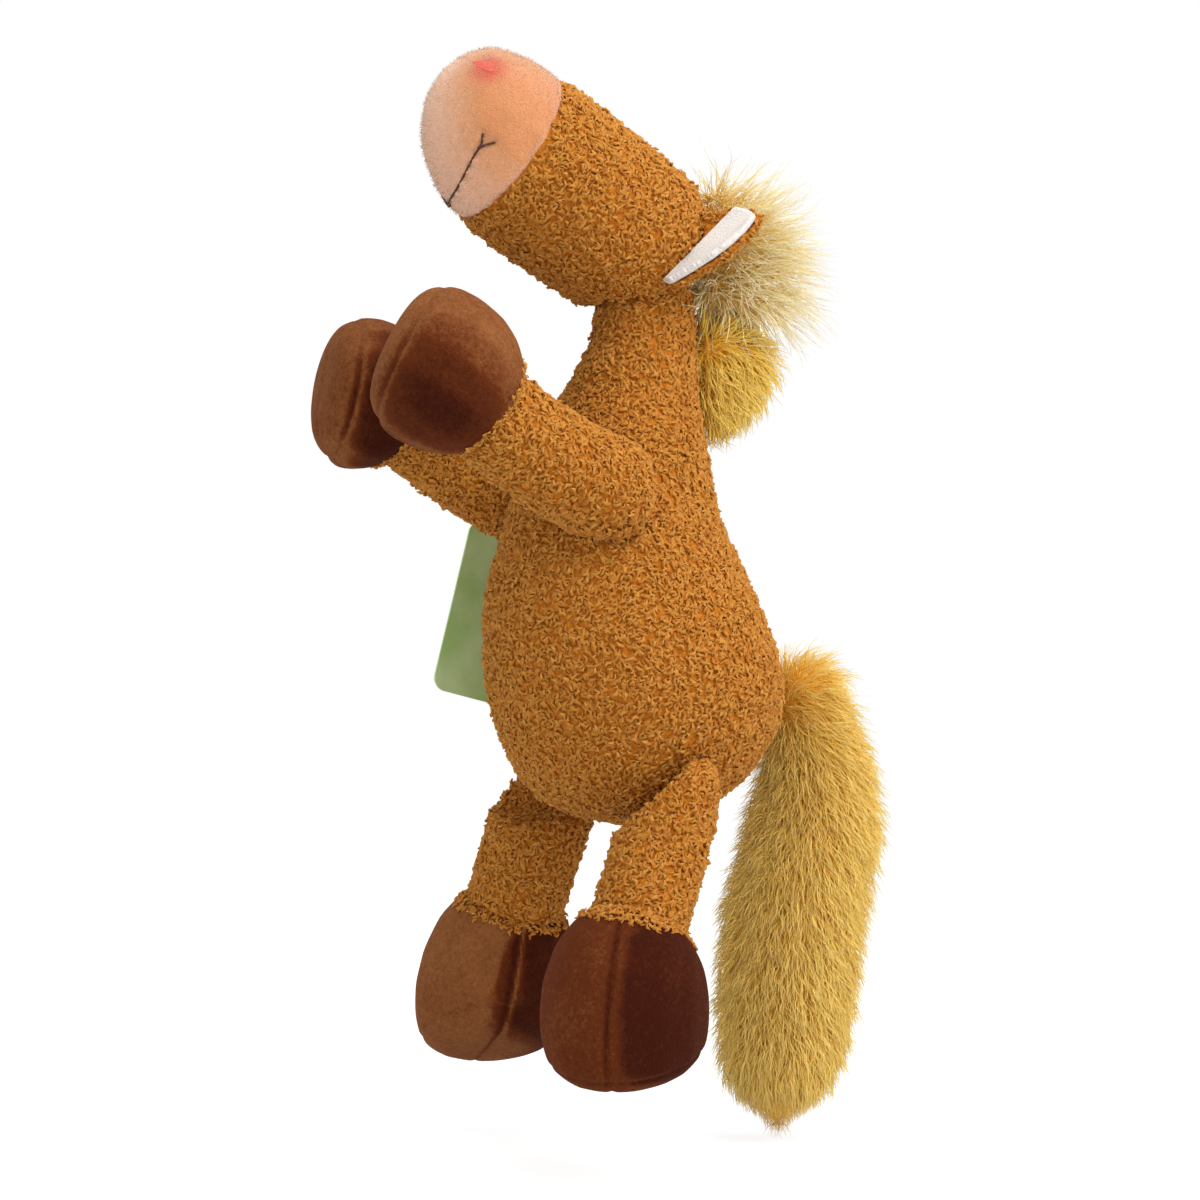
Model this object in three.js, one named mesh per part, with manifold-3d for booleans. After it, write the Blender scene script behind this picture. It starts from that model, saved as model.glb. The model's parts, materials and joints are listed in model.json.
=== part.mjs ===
// A plush horse with its head thrown back: curly fleece body, velour hooves and muzzle, long pile mane and tail.
// Millimetres. +Z is up, the horse faces -Y and its left side is +X. Every skin is a shell around its own filling.
import * as THREE from "three";
import { mergeVertices } from "three/addons/utils/BufferGeometryUtils.js";
import Module from "manifold-3d";

const wasm = await Module();
wasm.setup();

// Driving dimensions

const fit = {
  seamGap: 0.3, // between two pieces that are sewn together or lie together
  swingGap: 0.5, // between a limb and the body that it swings along
  overrun: 14, // how far a cutting form runs past the edge that it cuts
  reach: 400, // size of a block that cuts everything on one side of a plane
  weld: 0.0005, // points nearer than this are one point
  insideShare: 0.64, // sides of a form's inner faces to each side of its outer ones
};

const cloth = {
  fleece: 2.6,
  velour: 1.8,
  lining: 1.2,
  earFleece: 3,
};

const torso = {
  crotchHeight: 92.4,
  height: 146.6,
  girthRadius: 42,
  neckRadius: 14,
  sway: 14,
  pelletLevel: 26,
  sides: 20,
  sweepSides: 12,
};
// Height share, share of the girth, share of the neck, share of the sway.
const torsoShares = [
  [0, 0, 0, 0.64],
  [0.012, 0.26, 0, 0.64],
  [0.045, 0.575, 0, 0.66],
  [0.106, 0.8, 0, 0.74],
  [0.181, 0.935, 0, 0.82],
  [0.256, 1, 0, 0.8],
  [0.331, 0.98, 0, 0.66],
  [0.427, 0.91, 0, 0.46],
  [0.584, 0.71, 0, 0.27],
  [0.741, 0.575, 0, 0.39],
  [0.829, 0.27, 0.5, 0.69],
  [0.939, 0, 1, 1],
  [1, 0, 1, 1],
];
const neckDomeAngles = [25, 52, 76, 90];

const head = {
  pitch: 32,
  length: 58.8,
  seamRadius: 24,
  neckAhead: 2.9,
  neckBelow: 12.7,
  nodDown: 25,
  nodUp: 8,
  sides: 16,
  carveSteps: 4,
  ballRows: 8,
};
// Share of the head's length from its back, share of the radius at the muzzle seam.
const headShares = [
  [0, 0],
  [0.02, 0.5],
  [0.08, 0.8],
  [0.18, 0.94],
  [0.35, 0.98],
  [0.62, 1.005],
  [1, 1],
];

const muzzle = {
  length: 29.3,
  lift: 4.1,
};
// Share of the muzzle's length from its seam, share of the seam radius, share of the lift.
const muzzleShares = [
  [0, 1, 0],
  [0.225, 0.979, 0.17],
  [0.375, 0.936, 0.34],
  [0.638, 0.79, 0.66],
  [0.751, 0.688, 0.88],
  [0.874, 0.483, 1],
  [0.939, 0.32, 0.98],
  [1, 0, 0.73],
];

const eye = {
  radius: 2.4,
  ahead: 40,
  out: 4.3,
  sunk: 1.3,
  sides: 10,
};

const nostril = {
  ahead: 22.6,
  angle: 25,
  halfLength: 3.6,
  halfHeight: 1.3,
  pad: 0.6,
  sides: 8,
};

const mouth = {
  threadRadius: 0.45,
  frontAhead: 9.5,
  cornerAhead: 13.3,
  endAhead: 10.6,
  frontAngle: -90,
  cornerAngle: -35,
  endAngle: -26,
  steps: 9,
  threadSides: 4,
};

const ear = {
  ahead: 5.3,
  angle: -33,
  length: 33,
  halfWidth: 9.5,
  cup: 5,
  back: 25.5,
  out: 7,
  up: 19,
  seamTurnOut: 0.27,
  turnOut: 0.45,
  columns: 6,
};
// Share of the ear's length, share of its half width.
const earOutlineShares = [
  [0, 0.62],
  [0.2, 0.86],
  [0.42, 1],
  [0.62, 0.95],
  [0.8, 0.72],
  [0.93, 0.4],
  [1, 0.14],
];
const earLiningShare = 0.93;

const headMane = {
  halfWidth: 11,
  depth: 17,
  length: 55,
  sides: 12,
};
// Places on the mid plane in shares of the length, behind and above the head's pivot, then two radius shares.
const headManeShares = [
  [0.28, 0.63, 0.1],
  [0.38, 0.56, 0.52],
  [0.51, 0.39, 0.9],
  [0.54, 0.2, 1],
  [0.47, 0.02, 0.87],
  [0.4, -0.12, 0.6],
];

const neckMane = {
  halfWidth: 10.5,
  depth: 16.5,
  length: 55,
  sides: 12,
};
const neckManeShares = [
  [0.48, -0.08, 0.6],
  [0.46, -0.25, 0.98],
  [0.41, -0.43, 0.8],
  [0.36, -0.58, 0.5],
  [0.33, -0.665, 0.15],
];
const maneCleft = {
  angle: 8,
  slack: 1,
};

const arm = {
  shoulderHeight: 91.6,
  inward: 0.5,
  forward: 3.5,
  reach: 46,
  rise: 21,
  spread: 1,
  radius: 14,
  seamLow: 76.1,
  seamHigh: 105.1,
  sides: 12,
};
// Shares of the spread, the reach forward and the rise, from the shoulder to the cuff.
const armSpineShares = [
  [0, 0, 0],
  [-1, 0.27, 0.08],
  [-1, 0.5, 0.3],
  [-0.5, 0.76, 0.64],
  [0, 1, 1],
];
// Share of the way along, share of the radius across, share of it up and down.
const armGirthShares = [
  [0, 0, 0],
  [0.012, 0.5, 0.55],
  [0.05, 0.8, 0.84],
  [0.14, 0.97, 1.02],
  [0.3, 1, 1.03],
  [0.55, 0.98, 1],
  [0.8, 0.96, 0.97],
  [1, 0.95, 0.95],
];

const frontHoof = {
  radius: 22.3,
  sides: 14,
};
// Where each front sole lies from its cuff, and how far it turns in and tilts up.
const frontSoles = {
  left: { inward: 4, forward: 20.2, up: 15.6, turnIn: 28, tiltUp: 27 },
  right: { inward: 0, forward: 20.5, up: 9.2, turnIn: -7, tiltUp: 10 },
};

const leg = {
  hipHeight: 11,
  hipOut: 31,
  lobeRise: 12.6,
  drop: 35.9,
  spread: 8,
  forward: 15.9,
  back: 1,
  radius: 13.8,
  sitForward: 60,
  swingBack: 20,
  splay: 27,
  sides: 12,
  carveSteps: 5,
};
// How far ahead of its hip each leg starts. Then shares of the spread, the reach forward and the drop,
// from the hip to the cuff, and its girth as a share of the radius. The right thigh is pushed forward.
const legHangs = {
  left: {
    ahead: 0,
    girthShare: 0.95,
    shares: [
      [0, 0.24, 0.3],
      [0.35, 0.54, 0.6],
      [1, 1, 1],
    ],
  },
  right: {
    ahead: 8,
    girthShare: 1.05,
    shares: [
      [0, 0.55, 0.3],
      [0.35, 1.05, 0.6],
      [1, 1.22, 1],
    ],
  },
};
const legGirthShares = [
  [0, 0],
  [0.012, 0.42],
  [0.06, 0.76],
  [0.15, 0.96],
  [0.3, 1],
  [0.6, 1],
  [1, 0.97],
];

const rearHoof = {
  radius: 23.4,
  pelletDepth: 13,
  sides: 14,
};
// Where each rear sole lies from its cuff, how far it rolls in and lifts its toe, and how far round from
// straight ahead the hoof's seam lies, to its outer side.
const rearSoles = {
  left: { outward: 6, forward: 6.2, down: 31.4, roll: 12, toeUp: -12, seamTurn: 55 },
  right: { outward: 5.5, forward: 5.4, down: 36.4, roll: 24, toeUp: 7, seamTurn: -80 },
};

const hoofHandleShare = 0.36;
// Share of the way from cuff to sole, share of the hoof's radius.
const hoofShares = [
  [0, 0.64],
  [0.1, 0.76],
  [0.28, 0.9],
  [0.52, 0.985],
  [0.74, 1],
  [0.9, 0.975],
  [1, 0.93],
];
const sole = {
  thickness: 6.5,
  inset: 0.8,
};
// Share of the sole's thickness, share of its radius. The last is a flat face.
const soleShares = [
  [0, 1],
  [0.3, 0.97],
  [0.65, 0.86],
  [0.9, 0.66],
  [1, 0.46],
];

const tail = {
  rootHeight: 32,
  stub: 13,
  stubRadius: 6,
  drop: 141,
  reach: 18.5,
  radius: 20.5,
  core: 0.46,
  stubCore: 3.4,
  wag: 45,
  sides: 14,
  carveSteps: 4,
};
// Share of the reach behind the root, share of the drop from the hump, share of the radius.
const tailShares = [
  [0.7, 0, 0],
  [0.7, 0.012, 0.32],
  [0.72, 0.045, 0.54],
  [0.78, 0.11, 0.62],
  [0.92, 0.235, 0.8],
  [0.84, 0.37, 0.97],
  [0.56, 0.51, 1],
  [0.39, 0.67, 0.98],
  [0.31, 0.82, 0.9],
  [0.25, 0.92, 0.64],
  [0.21, 0.98, 0.3],
  [0.21, 1, 0.1],
];

const tag = {
  out: 48.2,
  width: 46,
  height: 51,
  thickness: 0.8,
  cornerRadius: 4,
  holeRadius: 1,
  holeInset: 5,
  lean: 14.4,
  heightAboveCrotch: 76.4,
  behindSide: -2.4,
  filamentRadius: 0.55,
  barLength: 8,
  barRadius: 0.75,
  anchorDepth: 3.4,
  sides: 8,
};

const finish = {
  fleece: { color: 0xc38a3e, roughness: 0.95, metalness: 0 },
  peach: { color: 0xe0a078, roughness: 0.85, metalness: 0 },
  brown: { color: 0x6b3a1e, roughness: 0.8, metalness: 0 },
  yellow: { color: 0xdcb45a, roughness: 0.9, metalness: 0 },
  white: { color: 0xd8cdc6, roughness: 0.9, metalness: 0 },
  filling: { color: 0xf2efe8, roughness: 1, metalness: 0 },
  pellets: { color: 0xe6e2d6, roughness: 0.7, metalness: 0 },
  bead: { color: 0x140c08, roughness: 0.15, metalness: 0 },
  blush: { color: 0xe06850, roughness: 0.8, metalness: 0 },
  thread: { color: 0x3c1e19, roughness: 0.8, metalness: 0 },
  card: { color: 0x88a066, roughness: 0.6, metalness: 0 },
  nylon: { color: 0xf0f0f0, roughness: 0.4, metalness: 0 },
};

// Shape helpers

const lateral = new THREE.Vector3(1, 0, 0);
const rearward = new THREE.Vector3(0, 1, 0);
const upward = new THREE.Vector3(0, 0, 1);

// Inner faces get fewer sides than outer ones.
function sidesWithin(inset, sides) {
  return inset > 0 ? Math.round(sides * fit.insideShare) : sides;
}

function radians(degrees) {
  return THREE.MathUtils.degToRad(degrees);
}

// Joins rings of points into one closed skin that faces out. A ring of one point ends it in a pole.
function closedLoft(rings) {
  const closed = [...rings];
  if (closed[0].length > 1) closed.unshift([middleOf(closed[0])]);
  if (closed.at(-1).length > 1) closed.push([middleOf(closed.at(-1))]);
  const corners = [];
  const face = (a, b, c) => corners.push(a.x, a.y, a.z, b.x, b.y, b.z, c.x, c.y, c.z);
  for (let i = 0; i + 1 < closed.length; i += 1) {
    const low = closed[i];
    const high = closed[i + 1];
    const count = Math.max(low.length, high.length);
    for (let j = 0; j < count; j += 1) {
      const k = (j + 1) % count;
      if (low.length === 1) {
        face(low[0], high[k], high[j]);
      } else if (high.length === 1) {
        face(low[j], low[k], high[0]);
      } else {
        face(low[j], low[k], high[k]);
        face(low[j], high[k], high[j]);
      }
    }
  }
  const geometry = new THREE.BufferGeometry();
  geometry.setAttribute("position", new THREE.Float32BufferAttribute(facingOut(corners), 3));
  return geometry;
}

// The corners of a closed skin's triangles, in the order that makes every triangle face out.
function facingOut(corners) {
  let volume = 0;
  const point = (index) => new THREE.Vector3().fromArray(corners, index);
  for (let i = 0; i < corners.length; i += 9) {
    volume += point(i).dot(point(i + 3).cross(point(i + 6)));
  }
  if (volume > 0) return corners;
  const reversed = [];
  for (let i = corners.length - 3; i >= 0; i -= 3) reversed.push(...corners.slice(i, i + 3));
  return reversed;
}

function middleOf(ring) {
  const sum = new THREE.Vector3();
  ring.forEach((point) => sum.add(point));
  return sum.divideScalar(ring.length);
}

// One ring around a place on a spine: across is its half width along side, deep its half width square to that.
function ringAt(centre, along, side, across, deep, sides) {
  if (across <= fit.weld) return [centre.clone()];
  const depthAxis = new THREE.Vector3().crossVectors(along, side).normalize();
  const sideAxis = new THREE.Vector3().crossVectors(depthAxis, along).normalize();
  return Array.from({ length: sides }, (_, index) => {
    const turn = (2 * Math.PI * index) / sides;
    return centre
      .clone()
      .addScaledVector(sideAxis, across * Math.cos(turn))
      .addScaledVector(depthAxis, deep * Math.sin(turn));
  });
}

// A stuffed form along a curve. Rows are shares of the way along, half width and half depth.
// inset shrinks it all round, and openStart and openEnd run it straight past an end instead.
function stuffedForm(curve, rows, size, options = {}) {
  const { inset = 0, openStart = false, openEnd = false, sides = 14, side = lateral } = options;
  const length = curve.getLength();
  const first = openStart ? 0 : inset;
  const last = length - (openEnd ? 0 : inset);
  const rings = rows.map(([share, acrossShare, deepShare]) => {
    const travel = first + (last - first) * share;
    const u = THREE.MathUtils.clamp(travel / length, 0, 1);
    const centre = curve.getPointAt(u).addScaledVector(curve.getTangentAt(u), travel - u * length);
    const across = acrossShare > 0 ? Math.max(size.across * acrossShare - inset, fit.seamGap) : 0;
    const deep = deepShare > 0 ? Math.max(size.deep * deepShare - inset, fit.seamGap) : 0;
    return ringAt(centre, curve.getTangentAt(u), side, across, deep, sidesWithin(inset, sides));
  });
  const shifted = (ring, direction) =>
    ring.map((point) => point.clone().addScaledVector(direction, fit.overrun));
  if (openStart) rings.unshift(shifted(rings[0], curve.getTangentAt(0).negate()));
  if (openEnd) rings.push(shifted(rings.at(-1), curve.getTangentAt(1)));
  return closedLoft(rings);
}

function toSolid(geometry) {
  const bare = geometry.index ? geometry.toNonIndexed() : geometry.clone();
  bare.deleteAttribute("normal");
  bare.deleteAttribute("uv");
  const merged = mergeVertices(bare, fit.weld);
  return new wasm.Manifold(
    new wasm.Mesh({
      numProp: 3,
      vertProperties: merged.getAttribute("position").array,
      triVerts: new Uint32Array(merged.index.array),
    }),
  );
}

function toGeometry(solid) {
  const mesh = solid.getMesh();
  const geometry = new THREE.BufferGeometry();
  geometry.setAttribute("position", new THREE.Float32BufferAttribute(mesh.vertProperties, 3));
  geometry.setIndex(new THREE.Uint32BufferAttribute(mesh.triVerts, 1));
  geometry.computeVertexNormals();
  return geometry;
}

// The same shape on the other side of the mid plane, with its faces still pointing out.
function mirrored(geometry) {
  const twin = geometry.clone().scale(-1, 1, 1);
  const order = twin.index.array;
  for (let i = 0; i < order.length; i += 3) {
    const kept = order[i + 1];
    order[i + 1] = order[i + 2];
    order[i + 2] = kept;
  }
  twin.computeVertexNormals();
  return twin;
}

// A solid turned about an axis through a place.
function turned(geometry, place, axis, degrees) {
  const turn = new THREE.Matrix4().makeRotationAxis(axis, radians(degrees));
  const there = new THREE.Matrix4().makeTranslation(place.x, place.y, place.z);
  const back = new THREE.Matrix4().makeTranslation(-place.x, -place.y, -place.z);
  return geometry.clone().applyMatrix4(there.multiply(turn).multiply(back));
}

// A block that fills everything on the side of a plane that its normal points to.
function blockBeyond(place, normal) {
  const block = new THREE.BoxGeometry(fit.reach, fit.reach, fit.reach);
  block.translate(0, 0, fit.reach / 2);
  block.applyQuaternion(new THREE.Quaternion().setFromUnitVectors(upward, normal.clone().normalize()));
  block.translate(place.x, place.y, place.z);
  return toSolid(block);
}

function rodBetween(from, to, radius, sides) {
  return toSolid(
    stuffedForm(
      new THREE.LineCurve3(from, to),
      [
        [0, 1, 1],
        [1, 1, 1],
      ],
      { across: radius, deep: radius },
      { sides, side: Math.abs(to.x - from.x) > Math.abs(to.z - from.z) ? upward : lateral },
    ),
  );
}

// Torso: a pear with a neck that ends in a dome around the point where the head nods

const neckPivot = new THREE.Vector3(0, torso.sway, torso.crotchHeight + torso.height);

function torsoRadiusAt(row) {
  return torso.girthRadius * row[1] + torso.neckRadius * row[2];
}

function torsoMeasure(height, read) {
  const share = height / torso.height;
  const above = torsoShares.findIndex((row) => row[0] >= share);
  const low = torsoShares[above - 1];
  const high = torsoShares[above];
  return THREE.MathUtils.lerp(read(low), read(high), (share - low[0]) / (high[0] - low[0]));
}

const torsoRadius = (height) => torsoMeasure(height, torsoRadiusAt);
const torsoCentre = (height) => torsoMeasure(height, (row) => row[3] * torso.sway);

function torsoForm(inset, openTop, outerSides = torso.sides) {
  const around = sidesWithin(inset, outerSides);
  // A rougher form than the torso's own goes round the outside of it, and ends flat below the dome.
  const swell = outerSides < torso.sides ? 1 / Math.cos(Math.PI / outerSides) : 1;
  const rings = torsoShares.map((row, index) => {
    const radius = torsoRadiusAt(row);
    const rise = index === 0 ? inset : 0;
    const z = torso.crotchHeight + row[0] * torso.height + rise;
    const low = torso.crotchHeight + inset + fit.weld * index;
    const centre = new THREE.Vector3(0, row[3] * torso.sway, Math.max(z, low));
    const within = radius > 0 ? Math.max((radius - inset) * swell, fit.seamGap) : 0;
    return ringAt(centre, upward, lateral, within, within, around);
  });
  if (swell > 1) return closedLoft(rings);
  const domeRadius = torso.neckRadius - inset;
  for (const angle of neckDomeAngles) {
    const lift = upward.clone().multiplyScalar(domeRadius * Math.sin(radians(angle)));
    const within = angle === neckDomeAngles.at(-1) ? 0 : domeRadius * Math.cos(radians(angle));
    rings.push(ringAt(neckPivot.clone().add(lift), upward, lateral, within, within, around));
  }
  if (openTop) {
    const steep = rings.length - 2;
    const mouthRing = rings[steep];
    rings.length = steep + 1;
    rings.push(mouthRing.map((point) => point.clone().addScaledVector(upward, fit.overrun)));
  }
  return closedLoft(rings);
}

const torsoNear = toSolid(torsoForm(-fit.seamGap, false));

// What the torso fills, seen from a piece that turns about an axis from one angle to the other.
function sweptTorso(pivot, axis, from, to, steps, around = torso.sweepSides) {
  const roughTorso = torsoForm(-fit.swingGap, false, around);
  let swept = null;
  for (let step = 0; step <= steps; step += 1) {
    const angle = THREE.MathUtils.lerp(from, to, step / steps);
    const torsoThen = toSolid(turned(roughTorso, pivot, axis, -angle));
    swept = swept ? swept.add(torsoThen) : torsoThen;
  }
  return swept;
}

// Head: a tube around an axis that rises from its back to the muzzle, with its own forward and upward directions

const forward = new THREE.Vector3(0, -Math.cos(radians(head.pitch)), Math.sin(radians(head.pitch)));
const crown = new THREE.Vector3(0, Math.sin(radians(head.pitch)), Math.cos(radians(head.pitch)));
const headBack = neckPivot
  .clone()
  .addScaledVector(forward, -head.neckAhead)
  .addScaledVector(crown, head.neckBelow);

function headPlace(ahead, out, up) {
  return headBack
    .clone()
    .addScaledVector(forward, ahead)
    .addScaledVector(lateral, out)
    .addScaledVector(crown, up);
}

// The radius of the head or muzzle at a place ahead of the head's back, and how far its middle is lifted.
function faceMeasure(ahead) {
  const rows = [
    ...headShares.map(([share, radius]) => [share * head.length, radius * head.seamRadius, 0]),
    ...muzzleShares
      .slice(1)
      .map(([share, radius, lift]) => [
        head.length + share * muzzle.length,
        radius * head.seamRadius,
        lift * muzzle.lift,
      ]),
  ];
  const above = rows.findIndex((row) => row[0] >= ahead);
  const low = rows[above - 1];
  const high = rows[above];
  const part = (ahead - low[0]) / (high[0] - low[0]);
  return {
    radius: THREE.MathUtils.lerp(low[1], high[1], part),
    lift: THREE.MathUtils.lerp(low[2], high[2], part),
  };
}

// A place off the skin of the face: angle is from its side up, and clear is how far it lies off the skin.
function facePlace(ahead, angle, clear) {
  const { radius, lift } = faceMeasure(ahead);
  const turn = radians(angle);
  return headPlace(ahead, (radius + clear) * Math.cos(turn), lift + (radius + clear) * Math.sin(turn));
}

function headForm(inset, openFront) {
  const end = head.length;
  const around = sidesWithin(inset, head.sides);
  const rings = headShares.map(([share, radiusShare], index) => {
    const ahead = Math.max(share * head.length, inset + fit.weld * index);
    const radius = radiusShare > 0 ? Math.max(radiusShare * head.seamRadius - inset, fit.seamGap) : 0;
    return ringAt(headPlace(ahead, 0, 0), forward, lateral, radius, radius, around);
  });
  if (openFront) {
    const radius = head.seamRadius - inset;
    rings.push(ringAt(headPlace(end + fit.overrun, 0, 0), forward, lateral, radius, radius, around));
  }
  return closedLoft(rings);
}

function muzzleRings(inset) {
  const around = sidesWithin(inset, head.sides);
  return muzzleShares.map(([share, radiusShare, liftShare]) => {
    const ahead = head.length + fit.seamGap + share * (muzzle.length - fit.seamGap - inset);
    const radius = radiusShare > 0 ? Math.max(radiusShare * head.seamRadius - inset, fit.seamGap) : 0;
    return ringAt(headPlace(ahead, 0, liftShare * muzzle.lift), forward, lateral, radius, radius, around);
  });
}

function muzzleForm(inset, openBack) {
  const rings = muzzleRings(inset);
  if (openBack) {
    const radius = head.seamRadius - inset;
    const start = headPlace(head.length - fit.overrun, 0, 0);
    rings.unshift(ringAt(start, forward, lateral, radius, radius, rings[0].length));
  }
  return closedLoft(rings);
}

// The room that the neck takes in the head: its dome doesn't change as the head nods.
const neckBallRadius = torso.neckRadius + 2 * fit.swingGap;
const neckBall = new THREE.SphereGeometry(neckBallRadius, torso.sweepSides, head.ballRows);
neckBall.translate(neckPivot.x, neckPivot.y, neckPivot.z);
const neckSlot = sweptTorso(neckPivot, lateral, -head.nodUp, head.nodDown, head.carveSteps);
const neckRoom = neckSlot.add(toSolid(neckBall));
const headOuter = toSolid(headForm(0, false));
const headNear = toSolid(headForm(-fit.seamGap, false));

function eyePlace(sideSign) {
  const { radius } = faceMeasure(eye.ahead);
  const up = Math.sqrt((radius - eye.sunk) ** 2 - eye.out ** 2);
  return headPlace(eye.ahead, sideSign * eye.out, up);
}

function eyeBall(sideSign, extra) {
  const ball = new THREE.SphereGeometry(eye.radius + extra, eye.sides, eye.sides / 2);
  const place = eyePlace(sideSign);
  return toSolid(ball.translate(place.x, place.y, place.z));
}

function nostrilPatch() {
  const ahead = head.length + nostril.ahead;
  const blank = new THREE.SphereGeometry(1, nostril.sides, nostril.sides / 2);
  blank.scale(nostril.halfLength, nostril.halfHeight, nostril.halfLength);
  const centre = facePlace(ahead, nostril.angle, 0);
  const outwards = centre.clone().sub(headPlace(ahead, 0, muzzle.lift)).normalize();
  const long = new THREE.Vector3().crossVectors(outwards, forward).cross(outwards).normalize();
  const short = new THREE.Vector3().crossVectors(outwards, long);
  blank.applyMatrix4(new THREE.Matrix4().makeBasis(long, short, outwards).setPosition(centre));
  const skinOut = toSolid(muzzleForm(-fit.seamGap - nostril.pad, false));
  const skinIn = toSolid(muzzleForm(-fit.seamGap, false));
  return toSolid(blank).intersect(skinOut).subtract(skinIn);
}

// The mouth's thread runs round the underside of the muzzle, from one corner to the other.
function mouthThread() {
  const clear = fit.seamGap + mouth.threadRadius;
  const half = [];
  for (let step = 0; step <= mouth.steps; step += 1) {
    const share = step / mouth.steps;
    const angle = THREE.MathUtils.lerp(mouth.frontAngle, mouth.cornerAngle, share);
    const ahead = THREE.MathUtils.lerp(mouth.frontAhead, mouth.cornerAhead, share);
    half.push(facePlace(head.length + ahead, angle, clear));
  }
  half.push(facePlace(head.length + mouth.endAhead, mouth.endAngle, clear));
  const mirroredHalf = half
    .slice(1)
    .reverse()
    .map((place) => new THREE.Vector3(-place.x, place.y, place.z));
  const route = new THREE.CatmullRomCurve3([...mirroredHalf, ...half]);
  const rows = Array.from({ length: 2 * mouth.steps + 1 }, (_, index) => [index / (2 * mouth.steps), 1, 1]);
  const size = { across: mouth.threadRadius, deep: mouth.threadRadius };
  return stuffedForm(route, rows, size, { sides: mouth.threadSides, side: forward });
}

// Ears: two cupped leaves, the fleece one behind and the lining in front

const earBase = facePlace(ear.ahead, ear.angle, fit.seamGap);
const crossOf = (along, turnOut) =>
  new THREE.Vector3().crossVectors(along, crown.clone().addScaledVector(lateral, turnOut)).normalize();
const earAlong = new THREE.Vector3(ear.out, ear.back, ear.up).normalize();
// The leaf turns out more than the seam that it is hinged on.
const earAcross = crossOf(earAlong, ear.turnOut);
const earHinge = crossOf(earAlong, ear.seamTurnOut);
const earNormal = new THREE.Vector3().crossVectors(earAcross, earAlong).normalize();

function earLeaf(lengthShare, widthShare, from, to) {
  const layer = (height) =>
    earOutlineShares.map(([share, width]) =>
      Array.from({ length: ear.columns + 1 }, (_, column) => {
        const across = (2 * column) / ear.columns - 1;
        const half = ear.halfWidth * widthShare * width;
        return earBase
          .clone()
          .addScaledVector(earAlong, ear.length * lengthShare * share)
          .addScaledVector(earAcross, half * across)
          .addScaledVector(earNormal, height + (ear.cup * width * across * across));
      }),
    );
  const back = layer(from);
  const front = layer(to);
  // Each row of the leaf becomes a flat ring: along its back, then home along its front.
  const rings = back.map((row, index) => [...row, ...[...front[index]].reverse()]);
  return closedLoft(rings);
}

// Manes: tufted strips on the mid plane, behind the head and down the neck, with a cleft between for the nod

function maneForm(shares, size) {
  const places = shares.map(
    ([back, up]) =>
      new THREE.Vector3(0, neckPivot.y + back * size.length, neckPivot.z + up * size.length),
  );
  const rings = places.map((place, index) => {
    const before = places[Math.max(index - 1, 0)];
    const after = places[Math.min(index + 1, places.length - 1)];
    const along = after.clone().sub(before).normalize();
    const share = shares[index][2];
    return ringAt(place, along, lateral, size.halfWidth * share, size.depth * share, size.sides);
  });
  return closedLoft(rings);
}

function cleftPlane(angle) {
  return new THREE.Vector3(0, Math.sin(radians(angle)), Math.cos(radians(angle)));
}

// Limbs: each a swelling tube, cut back wherever the torso would be as it swings

function spineOf(start, shares, reachOut, reachForward, reachUp) {
  return shares.map(([out, ahead, up]) =>
    start.clone().add(new THREE.Vector3(out * reachOut, -ahead * reachForward, up * reachUp)),
  );
}

const shoulder = new THREE.Vector3(
  torsoRadius(arm.shoulderHeight) - arm.inward,
  torsoCentre(arm.shoulderHeight) - arm.forward,
  torso.crotchHeight + arm.shoulderHeight,
);
const armSpine = new THREE.CatmullRomCurve3(
  spineOf(shoulder, armSpineShares, arm.spread, arm.reach, arm.rise),
);
// The arm is hinged on the side seam, where it joins the torso.
const seamPoint = (height) =>
  new THREE.Vector3(torsoRadius(height) + fit.swingGap, torsoCentre(height), torso.crotchHeight + height);
const armPivot = seamPoint(arm.seamLow);
const armAxis = seamPoint(arm.seamHigh).sub(armPivot).normalize();
const behindSeam = new THREE.Vector3().crossVectors(armAxis, lateral).normalize();
const armCuffTangent = armSpine.getTangentAt(1);
const armCuff = armSpine.getPointAt(1);

function armForm(inset, openEnd) {
  const size = { across: arm.radius, deep: arm.radius };
  return toSolid(stuffedForm(armSpine, armGirthShares, size, { inset, openEnd, sides: arm.sides }));
}

const hip = new THREE.Vector3(
  leg.hipOut,
  torsoCentre(leg.hipHeight) - leg.back,
  torso.crotchHeight + leg.hipHeight,
);
const lobeTop = hip.clone().addScaledVector(upward, leg.lobeRise);
const legRest = new THREE.Vector3(leg.spread, -leg.forward, -leg.drop).normalize();
const legSitting = new THREE.Vector3(
  Math.sin(radians(leg.splay)),
  -Math.cos(radians(leg.splay)),
  0,
);
const legAxis = new THREE.Vector3().crossVectors(legRest, legSitting).normalize();
const legRoom = sweptTorso(hip, legAxis, -leg.swingBack, leg.sitForward, leg.carveSteps);

function legSpineOf(side) {
  const { ahead, shares } = legHangs[side];
  const start = hip.clone().addScaledVector(rearward, -ahead);
  const top = lobeTop.clone().addScaledVector(rearward, -ahead);
  return new THREE.CatmullRomCurve3([
    top,
    ...spineOf(start, shares, leg.spread, leg.forward - ahead, -leg.drop),
  ]);
}

function legForm(side, inset, openEnd) {
  const radius = leg.radius * legHangs[side].girthShare;
  const size = { across: radius, deep: radius };
  const rows = legGirthShares.map(([share, girth]) => [share, girth, girth]);
  return toSolid(stuffedForm(legSpineOf(side), rows, size, { inset, openEnd, sides: leg.sides }));
}

// Hooves: each a bell from its cuff to its sole, of two panels that meet at a seam on both sides

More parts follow.
